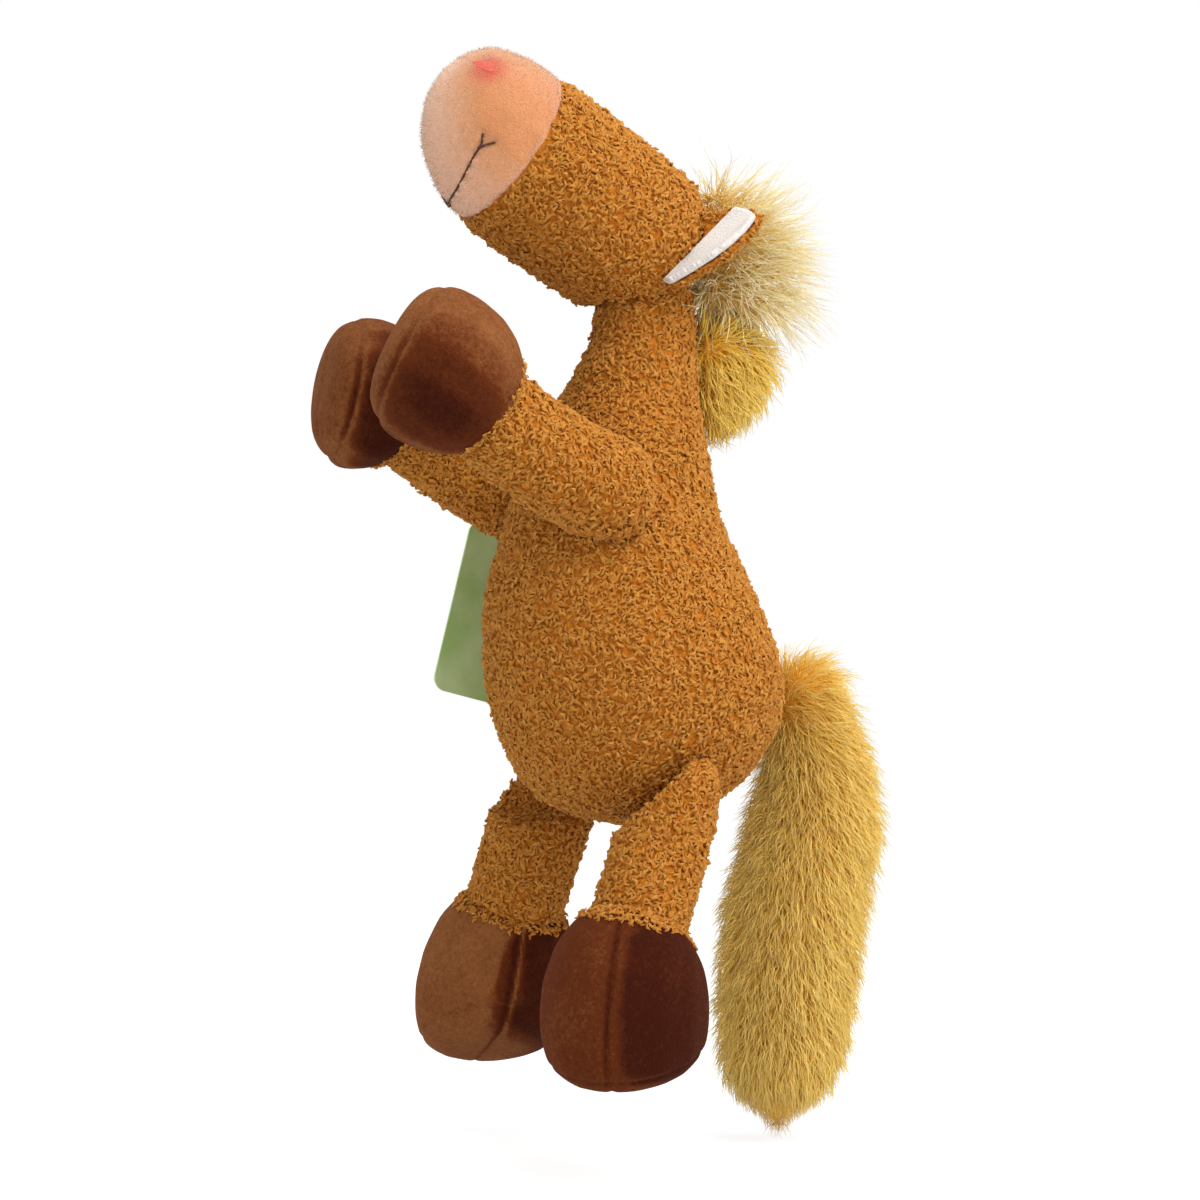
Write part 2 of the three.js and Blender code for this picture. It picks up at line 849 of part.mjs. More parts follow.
function hoofFrom(cuff, tangent, soleOffset, soleNormal, size, seamDirection) {
  const start = cuff.clone().addScaledVector(tangent, fit.seamGap);
  const end = start.clone().add(soleOffset);
  const handle = soleOffset.length() * hoofHandleShare;
  const spine = new THREE.CubicBezierCurve3(
    start,
    start.clone().addScaledVector(tangent, handle),
    end.clone().addScaledVector(soleNormal, -handle),
    end,
  );
  return { start, end, tangent, soleNormal, size, spine, seamDirection };
}

function hoofForm(hoof, inset, open) {
  const size = { across: hoof.size.radius, deep: hoof.size.radius };
  const rows = hoofShares.map(([share, radius]) => [share, radius, radius]);
  const options = { inset, openStart: open, openEnd: open, sides: hoof.size.sides };
  return toSolid(stuffedForm(hoof.spine, rows, size, options));
}

// The hoof's shell in two panels, the first on the side that its normal points to.
function hoofPanels(hoof) {
  const shell = hoofForm(hoof, 0, false).subtract(hoofForm(hoof, cloth.velour, true));
  const normal = new THREE.Vector3().crossVectors(hoof.seamDirection, hoof.end.clone().sub(hoof.start));
  const middle = hoof.spine.getPointAt(0.5);
  normal.normalize().multiplyScalar(normal.x < 0 ? -1 : 1);
  const half = normal.clone().multiplyScalar(fit.seamGap / 2);
  return [
    shell.intersect(blockBeyond(middle.clone().add(half), normal)),
    shell.intersect(blockBeyond(middle.clone().sub(half), normal.clone().negate())),
  ];
}

function hoofSole(hoof) {
  const start = hoof.end.clone().addScaledVector(hoof.soleNormal, fit.seamGap);
  const end = start.clone().addScaledVector(hoof.soleNormal, sole.thickness);
  const radius = hoof.size.radius * hoofShares.at(-1)[1] - sole.inset;
  const rows = soleShares.map(([share, wide]) => [share, wide, wide]);
  const size = { across: radius, deep: radius };
  return stuffedForm(new THREE.LineCurve3(start, end), rows, size, { sides: hoof.size.sides });
}

// Everything inside a hoof, from its cuff to the back of its sole.
function hoofFilling(hoof) {
  return hoofForm(hoof, cloth.velour + fit.seamGap, false);
}

function beyondCuff(cuff, tangent) {
  return blockBeyond(cuff.clone().addScaledVector(tangent, 2 * cloth.velour), tangent);
}

function frontHoofOf(side) {
  const place = frontSoles[side];
  const turn = radians(place.turnIn);
  const tilt = radians(place.tiltUp);
  const normal = new THREE.Vector3(
    -Math.sin(turn) * Math.cos(tilt),
    -Math.cos(turn) * Math.cos(tilt),
    Math.sin(tilt),
  );
  const offset = new THREE.Vector3(-place.inward, -place.forward, place.up);
  return hoofFrom(armCuff, armCuffTangent, offset, normal, frontHoof, upward);
}

function rearHoofOf(side) {
  const place = rearSoles[side];
  const spine = legSpineOf(side);
  const roll = radians(place.roll);
  const normal = new THREE.Vector3(-Math.sin(roll), -Math.sin(radians(place.toeUp)), -Math.cos(roll));
  const offset = new THREE.Vector3(place.outward, -place.forward, -place.down);
  const turn = radians(place.seamTurn);
  const seam = new THREE.Vector3(Math.sin(turn), -Math.cos(turn), 0);
  return hoofFrom(spine.getPointAt(1), spine.getTangentAt(1), offset, normal.normalize(), rearHoof, seam);
}

// Tail: a drooping brush that hangs from a short stub at the small of the back

const tailRoot = new THREE.Vector3(
  0,
  torsoCentre(tail.rootHeight) + torsoRadius(tail.rootHeight) + fit.seamGap,
  torso.crotchHeight + tail.rootHeight,
);

function tailForm(inset, radiusShare, openRoot) {
  const top = tail.drop;
  const rings = tailShares.map(([back, down, wide], index) => {
    const level = top * (1 - down);
    const z = THREE.MathUtils.clamp(level, inset + fit.weld, top - inset - fit.weld * index);
    const radius = Math.max(tail.radius * wide * radiusShare, wide > 0 ? fit.seamGap : 0);
    const place = new THREE.Vector3(0, tailRoot.y + back * tail.reach, z);
    return ringAt(place, upward.clone().negate(), lateral, radius, radius, tail.sides);
  });
  const stubRadius = openRoot ? tail.stubCore : tail.stubRadius;
  const start = tailRoot.clone();
  if (openRoot === "cut") start.addScaledVector(rearward, -fit.overrun);
  const stub = rodBetween(start, tailRoot.clone().addScaledVector(rearward, tail.stub), stubRadius, tail.sides);
  return toSolid(closedLoft(rings)).add(stub);
}

// Hang tag: a bare card on a nylon filament that runs through the side of the torso

const tagHole = new THREE.Vector3(
  -tag.out,
  torsoCentre(tag.heightAboveCrotch) + tag.behindSide,
  torso.crotchHeight + tag.heightAboveCrotch,
);

function tagCard() {
  const halfWidth = tag.width / 2;
  const top = tag.holeInset;
  const bottom = top - tag.height;
  const corner = tag.cornerRadius;
  const outline = new THREE.Shape();
  outline.moveTo(-halfWidth + corner, bottom);
  outline.lineTo(halfWidth - corner, bottom);
  outline.absarc(halfWidth - corner, bottom + corner, corner, -Math.PI / 2, 0);
  outline.lineTo(halfWidth, top - corner);
  outline.absarc(halfWidth - corner, top - corner, corner, 0, Math.PI / 2);
  outline.lineTo(-halfWidth + corner, top);
  outline.absarc(-halfWidth + corner, top - corner, corner, Math.PI / 2, Math.PI);
  outline.lineTo(-halfWidth, bottom + corner);
  outline.absarc(-halfWidth + corner, bottom + corner, corner, Math.PI, 1.5 * Math.PI);
  const hole = new THREE.Path();
  hole.absarc(0, 0, tag.holeRadius, 0, 2 * Math.PI, true);
  outline.holes.push(hole);
  const card = new THREE.ExtrudeGeometry(outline, {
    depth: tag.thickness,
    bevelEnabled: false,
    curveSegments: 4,
  });
  card.translate(0, 0, -tag.thickness / 2);
  const basis = new THREE.Matrix4().makeBasis(rearward, upward, lateral);
  card.applyMatrix4(basis);
  card.rotateX(radians(-tag.lean));
  card.translate(tagHole.x, tagHole.y, tagHole.z);
  return card;
}

function tagFilament(extra) {
  const sideX = torsoRadius(tag.heightAboveCrotch);
  const skinOut = -Math.sqrt(sideX ** 2 - tag.behindSide ** 2);
  const inside = new THREE.Vector3(skinOut + tag.anchorDepth, tagHole.y, tagHole.z);
  const outside = tagHole.clone().addScaledVector(lateral, -tag.thickness / 2 - fit.seamGap - tag.barRadius);
  const halfBar = new THREE.Vector3(0, 0, tag.barLength / 2 + extra);
  const rod = rodBetween(inside, outside, tag.filamentRadius + extra, tag.sides);
  const bar = rodBetween(
    outside.clone().sub(halfBar),
    outside.clone().add(halfBar),
    tag.barRadius + extra,
    tag.sides,
  );
  return rod.add(bar);
}

// Assembly

const horse = new THREE.Group();
const sides = ["left", "right"];

function addPiece(name, shape, look) {
  const geometry = shape instanceof THREE.BufferGeometry ? shape : toGeometry(shape);
  const piece = new THREE.Mesh(geometry, new THREE.MeshStandardMaterial(look));
  piece.name = name;
  horse.add(piece);
}

// Adds a shape that was made for the left side, turned over when it is for the right.
function addOnSide(side, name, shape, look) {
  const solid = shape instanceof THREE.BufferGeometry ? toSolid(shape) : shape;
  const geometry = toGeometry(solid);
  addPiece(`${side}_${name}`, side === "left" ? geometry : mirrored(geometry), look);
}

function addPair(name, shape, look) {
  for (const side of sides) addOnSide(side, name, shape, look);
}

function addTorso() {
  const filament = tagFilament(fit.seamGap);
  const hollow = toSolid(torsoForm(cloth.fleece, true));
  const filling = toSolid(torsoForm(cloth.fleece + fit.seamGap, false));
  const level = new THREE.Vector3(0, 0, torso.crotchHeight + torso.pelletLevel);
  const aboveLevel = blockBeyond(level, upward);
  const belowLevel = blockBeyond(level.clone().addScaledVector(upward, -fit.seamGap), upward.clone().negate());
  addPiece("torso_skin", toSolid(torsoForm(0, false)).subtract(hollow).subtract(filament), finish.fleece);
  addPiece("torso_stuffing", filling.intersect(aboveLevel).subtract(filament), finish.filling);
  addPiece("torso_pellet_bag", filling.intersect(belowLevel), finish.pellets);
}

function addHead() {
  const eyes = eyeBall(1, fit.seamGap).add(eyeBall(-1, fit.seamGap));
  const hollow = toSolid(headForm(cloth.fleece, true));
  const seam = headPlace(head.length + cloth.velour, 0, 0);
  const behindSeamPlane = blockBeyond(seam, forward.clone().negate());
  const headCore = toSolid(headForm(cloth.fleece + fit.seamGap, true)).intersect(behindSeamPlane);
  const muzzleCore = toSolid(muzzleForm(cloth.velour + fit.seamGap, false));
  const muzzleShell = toSolid(muzzleForm(0, false)).subtract(toSolid(muzzleForm(cloth.velour, true)));
  addPiece("head_skin", headOuter.subtract(hollow).subtract(neckRoom).subtract(eyes), finish.fleece);
  addPiece("muzzle_skin", muzzleShell, finish.peach);
  addPiece("head_stuffing", headCore.subtract(neckRoom).subtract(eyes).add(muzzleCore), finish.filling);
  addPair("eye", eyeBall(1, 0), finish.bead);
  addPair("nostril_stitching", nostrilPatch(), finish.blush);
  addPiece("mouth_stitching", mouthThread(), finish.thread);
}

function addEars() {
  const shell = toSolid(earLeaf(1, 1, 0, cloth.earFleece));
  const lift = cloth.earFleece + fit.seamGap;
  const lining = toSolid(earLeaf(earLiningShare, earLiningShare, lift, lift + cloth.lining));
  addPair("ear_shell", shell.subtract(headNear), finish.fleece);
  addPair("ear_lining", lining.subtract(headNear), finish.white);
}

function addManes() {
  const clearHead = blockBeyond(neckPivot, cleftPlane(maneCleft.angle));
  const neckTop = maneCleft.angle + head.nodUp + maneCleft.slack;
  const clearNeck = blockBeyond(neckPivot, cleftPlane(neckTop).negate());
  const upper = toSolid(maneForm(headManeShares, headMane)).intersect(clearHead).subtract(headNear);
  const lower = toSolid(maneForm(neckManeShares, neckMane)).intersect(clearNeck).subtract(torsoNear);
  addPiece("head_mane", upper.subtract(neckRoom), finish.yellow);
  addPiece("neck_mane", lower, finish.yellow);
}

function addArms() {
  const behind = blockBeyond(armPivot, behindSeam);
  const skin = armForm(0, false).subtract(armForm(cloth.fleece, true));
  const core = armForm(cloth.fleece + fit.seamGap, true).subtract(beyondCuff(armCuff, armCuffTangent));
  const clearOfTorso = (solid) => solid.subtract(torsoNear).subtract(behind);
  for (const side of sides) {
    const hoof = frontHoofOf(side);
    const [outer, inner] = hoofPanels(hoof);
    addOnSide(side, "arm_skin", clearOfTorso(skin), finish.fleece);
    addOnSide(side, "arm_stuffing", clearOfTorso(core).add(hoofFilling(hoof)), finish.filling);
    addOnSide(side, "front_hoof_outer_panel", outer, finish.brown);
    addOnSide(side, "front_hoof_inner_panel", inner, finish.brown);
    addOnSide(side, "front_hoof_sole", hoofSole(hoof), finish.brown);
  }
}

function addLegs() {
  for (const side of sides) {
    const spine = legSpineOf(side);
    const skin = legForm(side, 0, false).subtract(legForm(side, cloth.fleece, true)).subtract(legRoom);
    const past = beyondCuff(spine.getPointAt(1), spine.getTangentAt(1));
    const core = legForm(side, cloth.fleece + fit.seamGap, true).subtract(past);
    const hoof = rearHoofOf(side);
    const pelletTop = hoof.end.clone().addScaledVector(hoof.soleNormal, -rearHoof.pelletDepth);
    const fillingEnd = pelletTop.clone().addScaledVector(hoof.soleNormal, -fit.seamGap);
    const pellets = hoofFilling(hoof).intersect(blockBeyond(pelletTop, hoof.soleNormal));
    const filling = hoofFilling(hoof).intersect(blockBeyond(fillingEnd, hoof.soleNormal.clone().negate()));
    const [outer, inner] = hoofPanels(hoof);
    addOnSide(side, "leg_skin", skin, finish.fleece);
    addOnSide(side, "leg_stuffing", core.subtract(legRoom).add(filling), finish.filling);
    addOnSide(side, "rear_hoof_outer_panel", outer, finish.brown);
    addOnSide(side, "rear_hoof_inner_panel", inner, finish.brown);
    addOnSide(side, "rear_hoof_sole", hoofSole(hoof), finish.brown);
    addOnSide(side, "rear_hoof_pellet_bag", pellets, finish.pellets);
  }
}

function addTail() {
  const room = sweptTorso(tailRoot, rearward, -tail.wag, tail.wag, tail.carveSteps, torso.sides);
  const coreShare = tail.core - fit.seamGap / tail.radius;
  const outer = tailForm(0, 1, false);
  const hollow = tailForm(cloth.fleece, tail.core, "cut");
  addPiece("tail_skin", outer.subtract(hollow).subtract(room), finish.yellow);
  const core = tailForm(cloth.fleece + fit.seamGap, coreShare, "core");
  addPiece("tail_stuffing", core.subtract(room), finish.filling);
}

function addTag() {
  addPiece("hang_tag", tagCard(), finish.card);
  addPiece("tag_fastener", tagFilament(0), finish.nylon);
}

addTorso();
addHead();
addEars();
addManes();
addArms();
addLegs();
addTail();
addTag();

// The origin lies under the middle of the horse, level with the tip of its tail.
const reach = new THREE.Box3().setFromObject(horse, true);
const middle = reach.getCenter(new THREE.Vector3());
horse.position.set(0, -middle.y, -reach.min.z);

const frame = (place) => place.clone().add(horse.position).toArray();
// Where each moving piece turns, in the frame of the finished horse.
export const pivots = {
  head_nod: [frame(neckPivot), lateral.toArray()],
  left_ear_flop: [frame(earBase), earHinge.toArray()],
  left_arm_swing: [frame(armPivot), armAxis.toArray()],
  left_leg_swing: [frame(hip), legAxis.toArray()],
  tail_wag: [frame(tailRoot), rearward.toArray()],
  tag_swing: [frame(tagHole), lateral.toArray()],
  left_sole: [frame(rearHoofOf("left").end), rearHoofOf("left").soleNormal.toArray()],
};

export default horse;
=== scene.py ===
"""The looks of a plush horse: curly fleece, velour hooves and muzzle, long pile mane and tail."""

import json
import logging
import math
from collections.abc import Sequence
from dataclasses import dataclass, field
from enum import Enum
from functools import cache

import bmesh
import bpy
import numpy as np
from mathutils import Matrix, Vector
from mathutils.bvhtree import BVHTree
from mathutils.kdtree import KDTree


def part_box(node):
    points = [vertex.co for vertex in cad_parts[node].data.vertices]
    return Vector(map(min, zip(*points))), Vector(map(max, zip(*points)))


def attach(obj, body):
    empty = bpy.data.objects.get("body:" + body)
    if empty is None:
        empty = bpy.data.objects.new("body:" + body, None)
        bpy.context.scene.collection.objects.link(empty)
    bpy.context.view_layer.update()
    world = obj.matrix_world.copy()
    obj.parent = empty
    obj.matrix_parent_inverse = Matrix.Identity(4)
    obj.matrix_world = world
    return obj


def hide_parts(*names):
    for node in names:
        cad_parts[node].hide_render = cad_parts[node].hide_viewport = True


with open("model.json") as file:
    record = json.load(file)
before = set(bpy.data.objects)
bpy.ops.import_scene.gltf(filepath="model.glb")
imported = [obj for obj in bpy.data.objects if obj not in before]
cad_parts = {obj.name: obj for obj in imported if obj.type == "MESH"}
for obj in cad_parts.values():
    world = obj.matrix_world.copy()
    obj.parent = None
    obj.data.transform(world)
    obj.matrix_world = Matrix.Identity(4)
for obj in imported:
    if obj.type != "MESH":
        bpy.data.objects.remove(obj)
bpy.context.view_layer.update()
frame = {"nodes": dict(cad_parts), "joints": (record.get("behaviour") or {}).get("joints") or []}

log = logging.getLogger("plush_horse")

MM = 0.001
PER_SQUARE_MM = 1e6
PICTURE = 1200
Point = tuple[float, float, float]
Pixel = tuple[float, float]
Screen = tuple[int, int, int]
Colour = tuple[float, float, float, float]
Piece = bpy.types.Object
Material = bpy.types.Material
Socket = bpy.types.NodeSocket
Plane = tuple[np.ndarray, np.ndarray]


class Side(Enum):
    """The two sides of the horse, with the sign of their X."""

    LEFT = 1
    RIGHT = -1

    @property
    def word(self) -> str:
        """The name that the side's pieces start with."""
        return self.name.lower()


def shade(colour: Screen) -> Colour:
    """Turns a screen colour of 0 to 255 into the linear colour that a shader takes."""
    shares = [level / 255 for level in colour]
    linear = [share / 12.92 if share <= 0.04045 else ((share + 0.055) / 1.055) ** 2.4 for share in shares]
    return (*linear, 1.0)


BLACK = shade((0, 0, 0))
WHITE = shade((255, 255, 255))
RANDOM_SOCKETS = {"FLOAT_VECTOR": (0, 1, 0), "FLOAT": (2, 3, 1), "INT": (4, 5, 2)}


class NodeSheet:
    """Adds nodes to a node tree and joins them, one line a node."""

    def __init__(self, tree: bpy.types.NodeTree) -> None:
        """Starts with an empty tree."""
        self.tree = tree
        tree.nodes.clear()

    def add(self, kind: str, inputs: dict | None = None, **settings: object) -> bpy.types.Node:
        """Adds one node.

        Args:
            kind: The node's type.
            inputs: Values or sockets for its inputs, by name or number.
            settings: The node's own properties.

        Returns:
            The new node.
        """
        node = self.tree.nodes.new(kind)
        for key, value in settings.items():
            setattr(node, key, value)
        for key, value in (inputs or {}).items():
            if isinstance(value, Socket):
                self.tree.links.new(value, node.inputs[key])
            else:
                node.inputs[key].default_value = value
        return node

    def math(self, operation: str, *values: object) -> Socket:
        """The result of one sum on numbers or sockets."""
        return self.add("ShaderNodeMath", dict(enumerate(values)), operation=operation).outputs[0]

    def vector(self, operation: str, first: object, other: object = None) -> Socket:
        """The result of one sum on vectors, where other is a vector, or a number that scales."""
        inputs = {0: first}
        if other is not None:
            inputs["Scale" if operation == "SCALE" else 1] = other
        return self.add("ShaderNodeVectorMath", inputs, operation=operation).outputs[0]

    def blend(self, share: object, low: object, high: object) -> Socket:
        """The colour between low and high."""
        return self.add("ShaderNodeMix", {0: share, 6: low, 7: high}, data_type="RGBA").outputs[2]

    def ramp(self, share: object, *stops: tuple[float, Colour]) -> Socket:
        """The colour at a share of 0 to 1 along a row of places and their colours."""
        node = self.add("ShaderNodeValToRGB", {0: share})
        line = node.color_ramp.elements
        while len(line) < len(stops):
            line.new(0.5)
        for element, (place, colour) in zip(line, stops):
            element.position = place
            element.color = colour
        return node.outputs[0]

    def noise(self, where: object, scale: float, detail: float = 2.0) -> Socket:
        """A soft noise of 0 to 1 at a place."""
        return self.add("ShaderNodeTexNoise", {"Vector": where, "Scale": scale, "Detail": detail}).outputs[0]

    def relief(self, height: Socket, strength: float, depth: float) -> Socket:
        """The direction in which a surface faces with relief on it, whose depth is in millimetres."""
        inputs = {"Strength": strength, "Distance": depth * MM, "Height": height}
        return self.add("ShaderNodeBump", inputs).outputs[0]

    def object_place(self) -> Socket:
        """The place in the piece's own frame."""
        return self.add("ShaderNodeTexCoord").outputs["Object"]

    def random(self, low: object, high: object, seed: object, kind: str = "FLOAT") -> Socket:
        """A random number or vector for each strand."""
        first, second, out = RANDOM_SOCKETS[kind]
        inputs = {first: low, second: high, "Seed": seed}
        return self.add("FunctionNodeRandomValue", inputs, data_type=kind).outputs[out]

    def named(self, name: str, kind: str = "FLOAT") -> Socket:
        """The values of a named attribute."""
        return self.add("GeometryNodeInputNamedAttribute", {"Name": name}, data_type=kind).outputs[0]

    def stored(self, geometry: Socket, name: str, value: Socket, kind: str = "FLOAT", domain: str = "POINT") -> Socket:
        """A geometry with a named attribute stored on it."""
        inputs = {"Geometry": geometry, "Name": name, "Value": value}
        return self.add("GeometryNodeStoreNamedAttribute", inputs, data_type=kind, domain=domain).outputs[0]


def new_finish(name: str) -> tuple[Material, NodeSheet]:
    """Starts a material with an empty node tree."""
    material = bpy.data.materials.new(name)
    material.use_nodes = True
    return material, NodeSheet(material.node_tree)


def close_finish(sheet: NodeSheet, inputs: dict) -> None:
    """Joins one shader with these inputs to the material's output."""
    skin = sheet.add("ShaderNodeBsdfPrincipled", inputs)
    sheet.add("ShaderNodeOutputMaterial", {"Surface": skin.outputs[0]})


@dataclass(frozen=True)
class StrandFinish:
    """Colour of pile that stands as strands, read from the map that each strand carries.

    Light falls on it partly as on the skin that it grows from, which the strand's "lie" direction gives. Its roots
    carry painted shade, as deep in the pile, and its tips carry painted light.
    """

    name: str
    # roots: a darker colour, painted shade deep in the pile; tips: a paler colour, painted light on the outer pile.
    roots: Screen
    deep: Screen
    light: Screen
    tips: Screen
    sheen: Screen
    sheen_weight: float = 0.15
    softness: float = 0.6
    middle: float = 0.45

    def material(self) -> Material:
        """Builds the material: u is the strand's tone, v its way from root to tip, with painted shade at the root and
        painted light at the tip.
        """
        material, sheet = new_finish(self.name)
        place = sheet.add("ShaderNodeUVMap", uv_map="OFBake").outputs[0]
        tone_at, way = sheet.add("ShaderNodeSeparateXYZ", {0: place}).outputs[:2]
        tone = sheet.ramp(tone_at, (0.05, shade(self.deep)), (0.9, shade(self.light)))
        # Painted shade: towards the root the colour goes over to the darker roots colour.
        root_shade = sheet.ramp(way, (0.0, WHITE), (self.middle, BLACK))
        # Painted light: towards the tip the colour goes over to the paler tips colour.
        tip_light = sheet.ramp(way, (self.middle, BLACK), (1.0, WHITE))
        body = sheet.blend(root_shade, tone, shade(self.roots))
        inputs = {
            "Base Color": sheet.blend(tip_light, body, shade(self.tips)),
            "Roughness": 0.8,
            "Sheen Weight": self.sheen_weight,
            "Sheen Roughness": 0.5,
            "Sheen Tint": shade(self.sheen),
            "Specular IOR Level": 0.15,
            "Normal": self.soft_normal(sheet),
        }
        close_finish(sheet, inputs)
        return material

    def soft_normal(self, sheet: NodeSheet) -> Socket:
        """The direction between the strand's own normal and that of the skin below it."""
        lie = sheet.add("ShaderNodeAttribute", attribute_name="lie").outputs["Vector"]
        turn = {"vector_type": "NORMAL", "convert_from": "OBJECT", "convert_to": "WORLD"}
        below = sheet.add("ShaderNodeVectorTransform", {0: lie}, **turn).outputs[0]
        own = sheet.add("ShaderNodeNewGeometry").outputs["Normal"]
        parts = sheet.vector("SCALE", below, self.softness), sheet.vector("SCALE", own, 1 - self.softness)
        return sheet.vector("NORMALIZE", sheet.vector("ADD", *parts))


@dataclass(frozen=True)
class VelourFinish:
    """Short pile with painted light and shade: lighter where it faces one way and darker where it faces the other.

    Each point's number gives its painted light and shade, from 0 to 1, together with any tone of its own. Grains are
    noise scales per metre.
    """

    name: str
    low: Screen
    middle: Screen
    high: Screen
    sheen: Screen
    patch_share: float = 0.4
    sheen_weight: float = 0.5
    patch: float = 60.0
    fleck: float = 600.0
    grain: float = 1300.0
    pile: float = 2200.0

    def material(self) -> Material:
        """Builds the material: painted light and shade and broad patches in colour, and a grain of pile in relief."""
        material, sheet = new_finish(self.name)
        where = sheet.object_place()
        # Painted light and shade: a number for each point, set by the way it faces, picks how light the velour is
        # painted.
        nap = sheet.add("ShaderNodeAttribute", attribute_name="nap").outputs["Fac"]
        patches, flecks = sheet.noise(where, self.patch, 3.0), sheet.noise(where, self.fleck, 3.0)
        mottle = sheet.math("ADD", sheet.math("SUBTRACT", patches, 0.5), sheet.math("SUBTRACT", flecks, 0.5))
        mottle = sheet.math("ADD", mottle, sheet.math("SUBTRACT", sheet.noise(where, self.grain), 0.5))
        mixed = sheet.math("ADD", nap, sheet.math("MULTIPLY", mottle, self.patch_share))
        stops = (0.0, shade(self.low)), (0.5, shade(self.middle)), (1.0, shade(self.high))
        inputs = {
            "Base Color": sheet.ramp(mixed, *stops),
            "Roughness": 0.9,
            "Specular IOR Level": 0.1,
            "Sheen Weight": self.sheen_weight,
            "Sheen Roughness": 0.4,
            "Sheen Tint": shade(self.sheen),
            "Normal": sheet.relief(sheet.noise(where, self.pile), 1.0, 0.5),
        }
        close_finish(sheet, inputs)
        return material


@dataclass(frozen=True)
class PlainFinish:
    """Backing, thread, bead, card or nylon: two tones broken up by a fine noise that is also its relief."""

    name: str
    low: Screen
    high: Screen
    grain: float
    roughness: float
    coat: float = 0.0
    specular: float = 0.5
    detail: float = 4.0
    high_from: float = 0.65
    strength: float = 0.15
    depth: float = 0.2

    def material(self) -> Material:
        """Builds the material from two tones and a fine relief."""
        material, sheet = new_finish(self.name)
        fleck = sheet.noise(sheet.object_place(), self.grain, self.detail)
        inputs = {
            "Base Color": sheet.ramp(fleck, (0.35, shade(self.low)), (self.high_from, shade(self.high))),
            "Roughness": self.roughness,
            "Specular IOR Level": self.specular,
            "Coat Weight": self.coat,
            "Normal": sheet.relief(fleck, self.strength, self.depth),
        }
        close_finish(sheet, inputs)
        return material


def backing(name: str, low: Screen, high: Screen) -> PlainFinish:
    """The knitted backing that pile grows from, seen only between its strands."""
    return PlainFinish(
        name, low, high, grain=900.0, roughness=0.95, specular=0.1, detail=3.0, high_from=0.7, strength=0.6, depth=0.6
    )


FINISHES = (
    # Strand finishes: roots are painted shade deep in the pile and tips are painted light on the outer pile; deep and
    # light are the strands' own random tones.
    StrandFinish(
        "ochre_curls", roots=(156, 90, 22), deep=(174, 102, 27), light=(196, 131, 49), tips=(207, 148, 70),
        sheen=(236, 190, 130), softness=0.3,
    ),
    StrandFinish(
        "pale_yellow_pile", roots=(255, 182, 48), deep=(255, 201, 78), light=(255, 219, 110), tips=(255, 234, 150),
        sheen=(255, 216, 96), sheen_weight=1.0, softness=0.2,
    ),
    StrandFinish(
        "bright_yellow_pile", roots=(255, 182, 40), deep=(255, 204, 62), light=(255, 219, 90), tips=(255, 232, 142),
        sheen=(255, 218, 100), sheen_weight=1.0, softness=0.2,
    ),
    StrandFinish(
        "wispy_yellow_pile", roots=(255, 202, 76), deep=(255, 224, 126), light=(255, 240, 178), tips=(255, 250, 228),
        sheen=(255, 246, 212), sheen_weight=0.8, softness=0.2,
    ),
    StrandFinish(
        "peach_fuzz", roots=(212, 146, 102), deep=(216, 156, 114), light=(226, 172, 134), tips=(240, 206, 178),
        sheen=(255, 238, 224),
    ),
    # Velour ramps: brown_velour runs from painted shade to painted light; peach_velour runs from the nostrils' own
    # pink through peach to painted pale edges.
    VelourFinish(
        "brown_velour", low=(58, 16, 2), middle=(96, 43, 14), high=(148, 94, 52), sheen=(200, 120, 60),
        sheen_weight=0.1,
    ),
    VelourFinish(
        "peach_velour", low=(206, 96, 70), middle=(214, 146, 98), high=(246, 192, 158), sheen=(255, 238, 224),
        patch_share=0.2, sheen_weight=0.9,
    ),
    VelourFinish(
        "white_lining", low=(206, 196, 186), middle=(224, 217, 210), high=(234, 228, 224), sheen=(250, 250, 250)
    ),
    backing("ochre_backing", (176, 100, 24), (200, 124, 38)),
    backing("yellow_backing", (252, 184, 64), (255, 212, 104)),
    PlainFinish("green_card", (168, 206, 128), (204, 228, 172), grain=60.0, roughness=0.6),
    PlainFinish("clear_nylon", (228, 228, 224), (240, 240, 238), grain=400.0, roughness=0.35),
    PlainFinish("eye_bead", (14, 8, 6), (22, 12, 8), grain=300.0, roughness=0.12, coat=0.8),
    PlainFinish("brown_thread", (58, 28, 22), (84, 44, 34), grain=3000.0, roughness=0.7),
    PlainFinish("pink_thread", (224, 88, 78), (232, 128, 106), grain=3000.0, roughness=0.8),
)


@cache
def finish(name: str) -> Material:
    """The material of one of the finishes, built once."""
    return next(entry for entry in FINISHES if entry.name == name).material()


def new_piece(name: str, data: bpy.types.ID) -> Piece:
    """Puts a new object with some data into the scene."""
    piece = bpy.data.objects.new(name, data)
    bpy.context.scene.collection.objects.link(piece)
    return piece


def dress(piece: Piece, material: Material) -> None:
    """Gives a piece one material and smooth faces."""
    piece.data.materials.clear()
    piece.data.materials.append(material)
    for face in piece.data.polygons:
        face.use_smooth = True


def hand_over(piece: Piece, body: str, replaced: Sequence[str] = ()) -> None:
    """Hides the CAD nodes that a finished piece stands for, hangs it on its body and logs its faces.

    Args:
        piece: The piece.
        body: The body that it rides on.
        replaced: The CAD nodes that it stands for.
    """
    if replaced:
        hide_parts(*replaced)
    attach(piece, body)
    log.info("%s: %d faces", piece.name, len(piece.data.polygons))


def mesh_piece(name: str, work: bmesh.types.BMesh) -> Piece:
    """Turns a mesh in work into a new piece."""
    mesh = bpy.data.meshes.new(name)
    work.to_mesh(mesh)
    work.free()
    return new_piece(name, mesh)


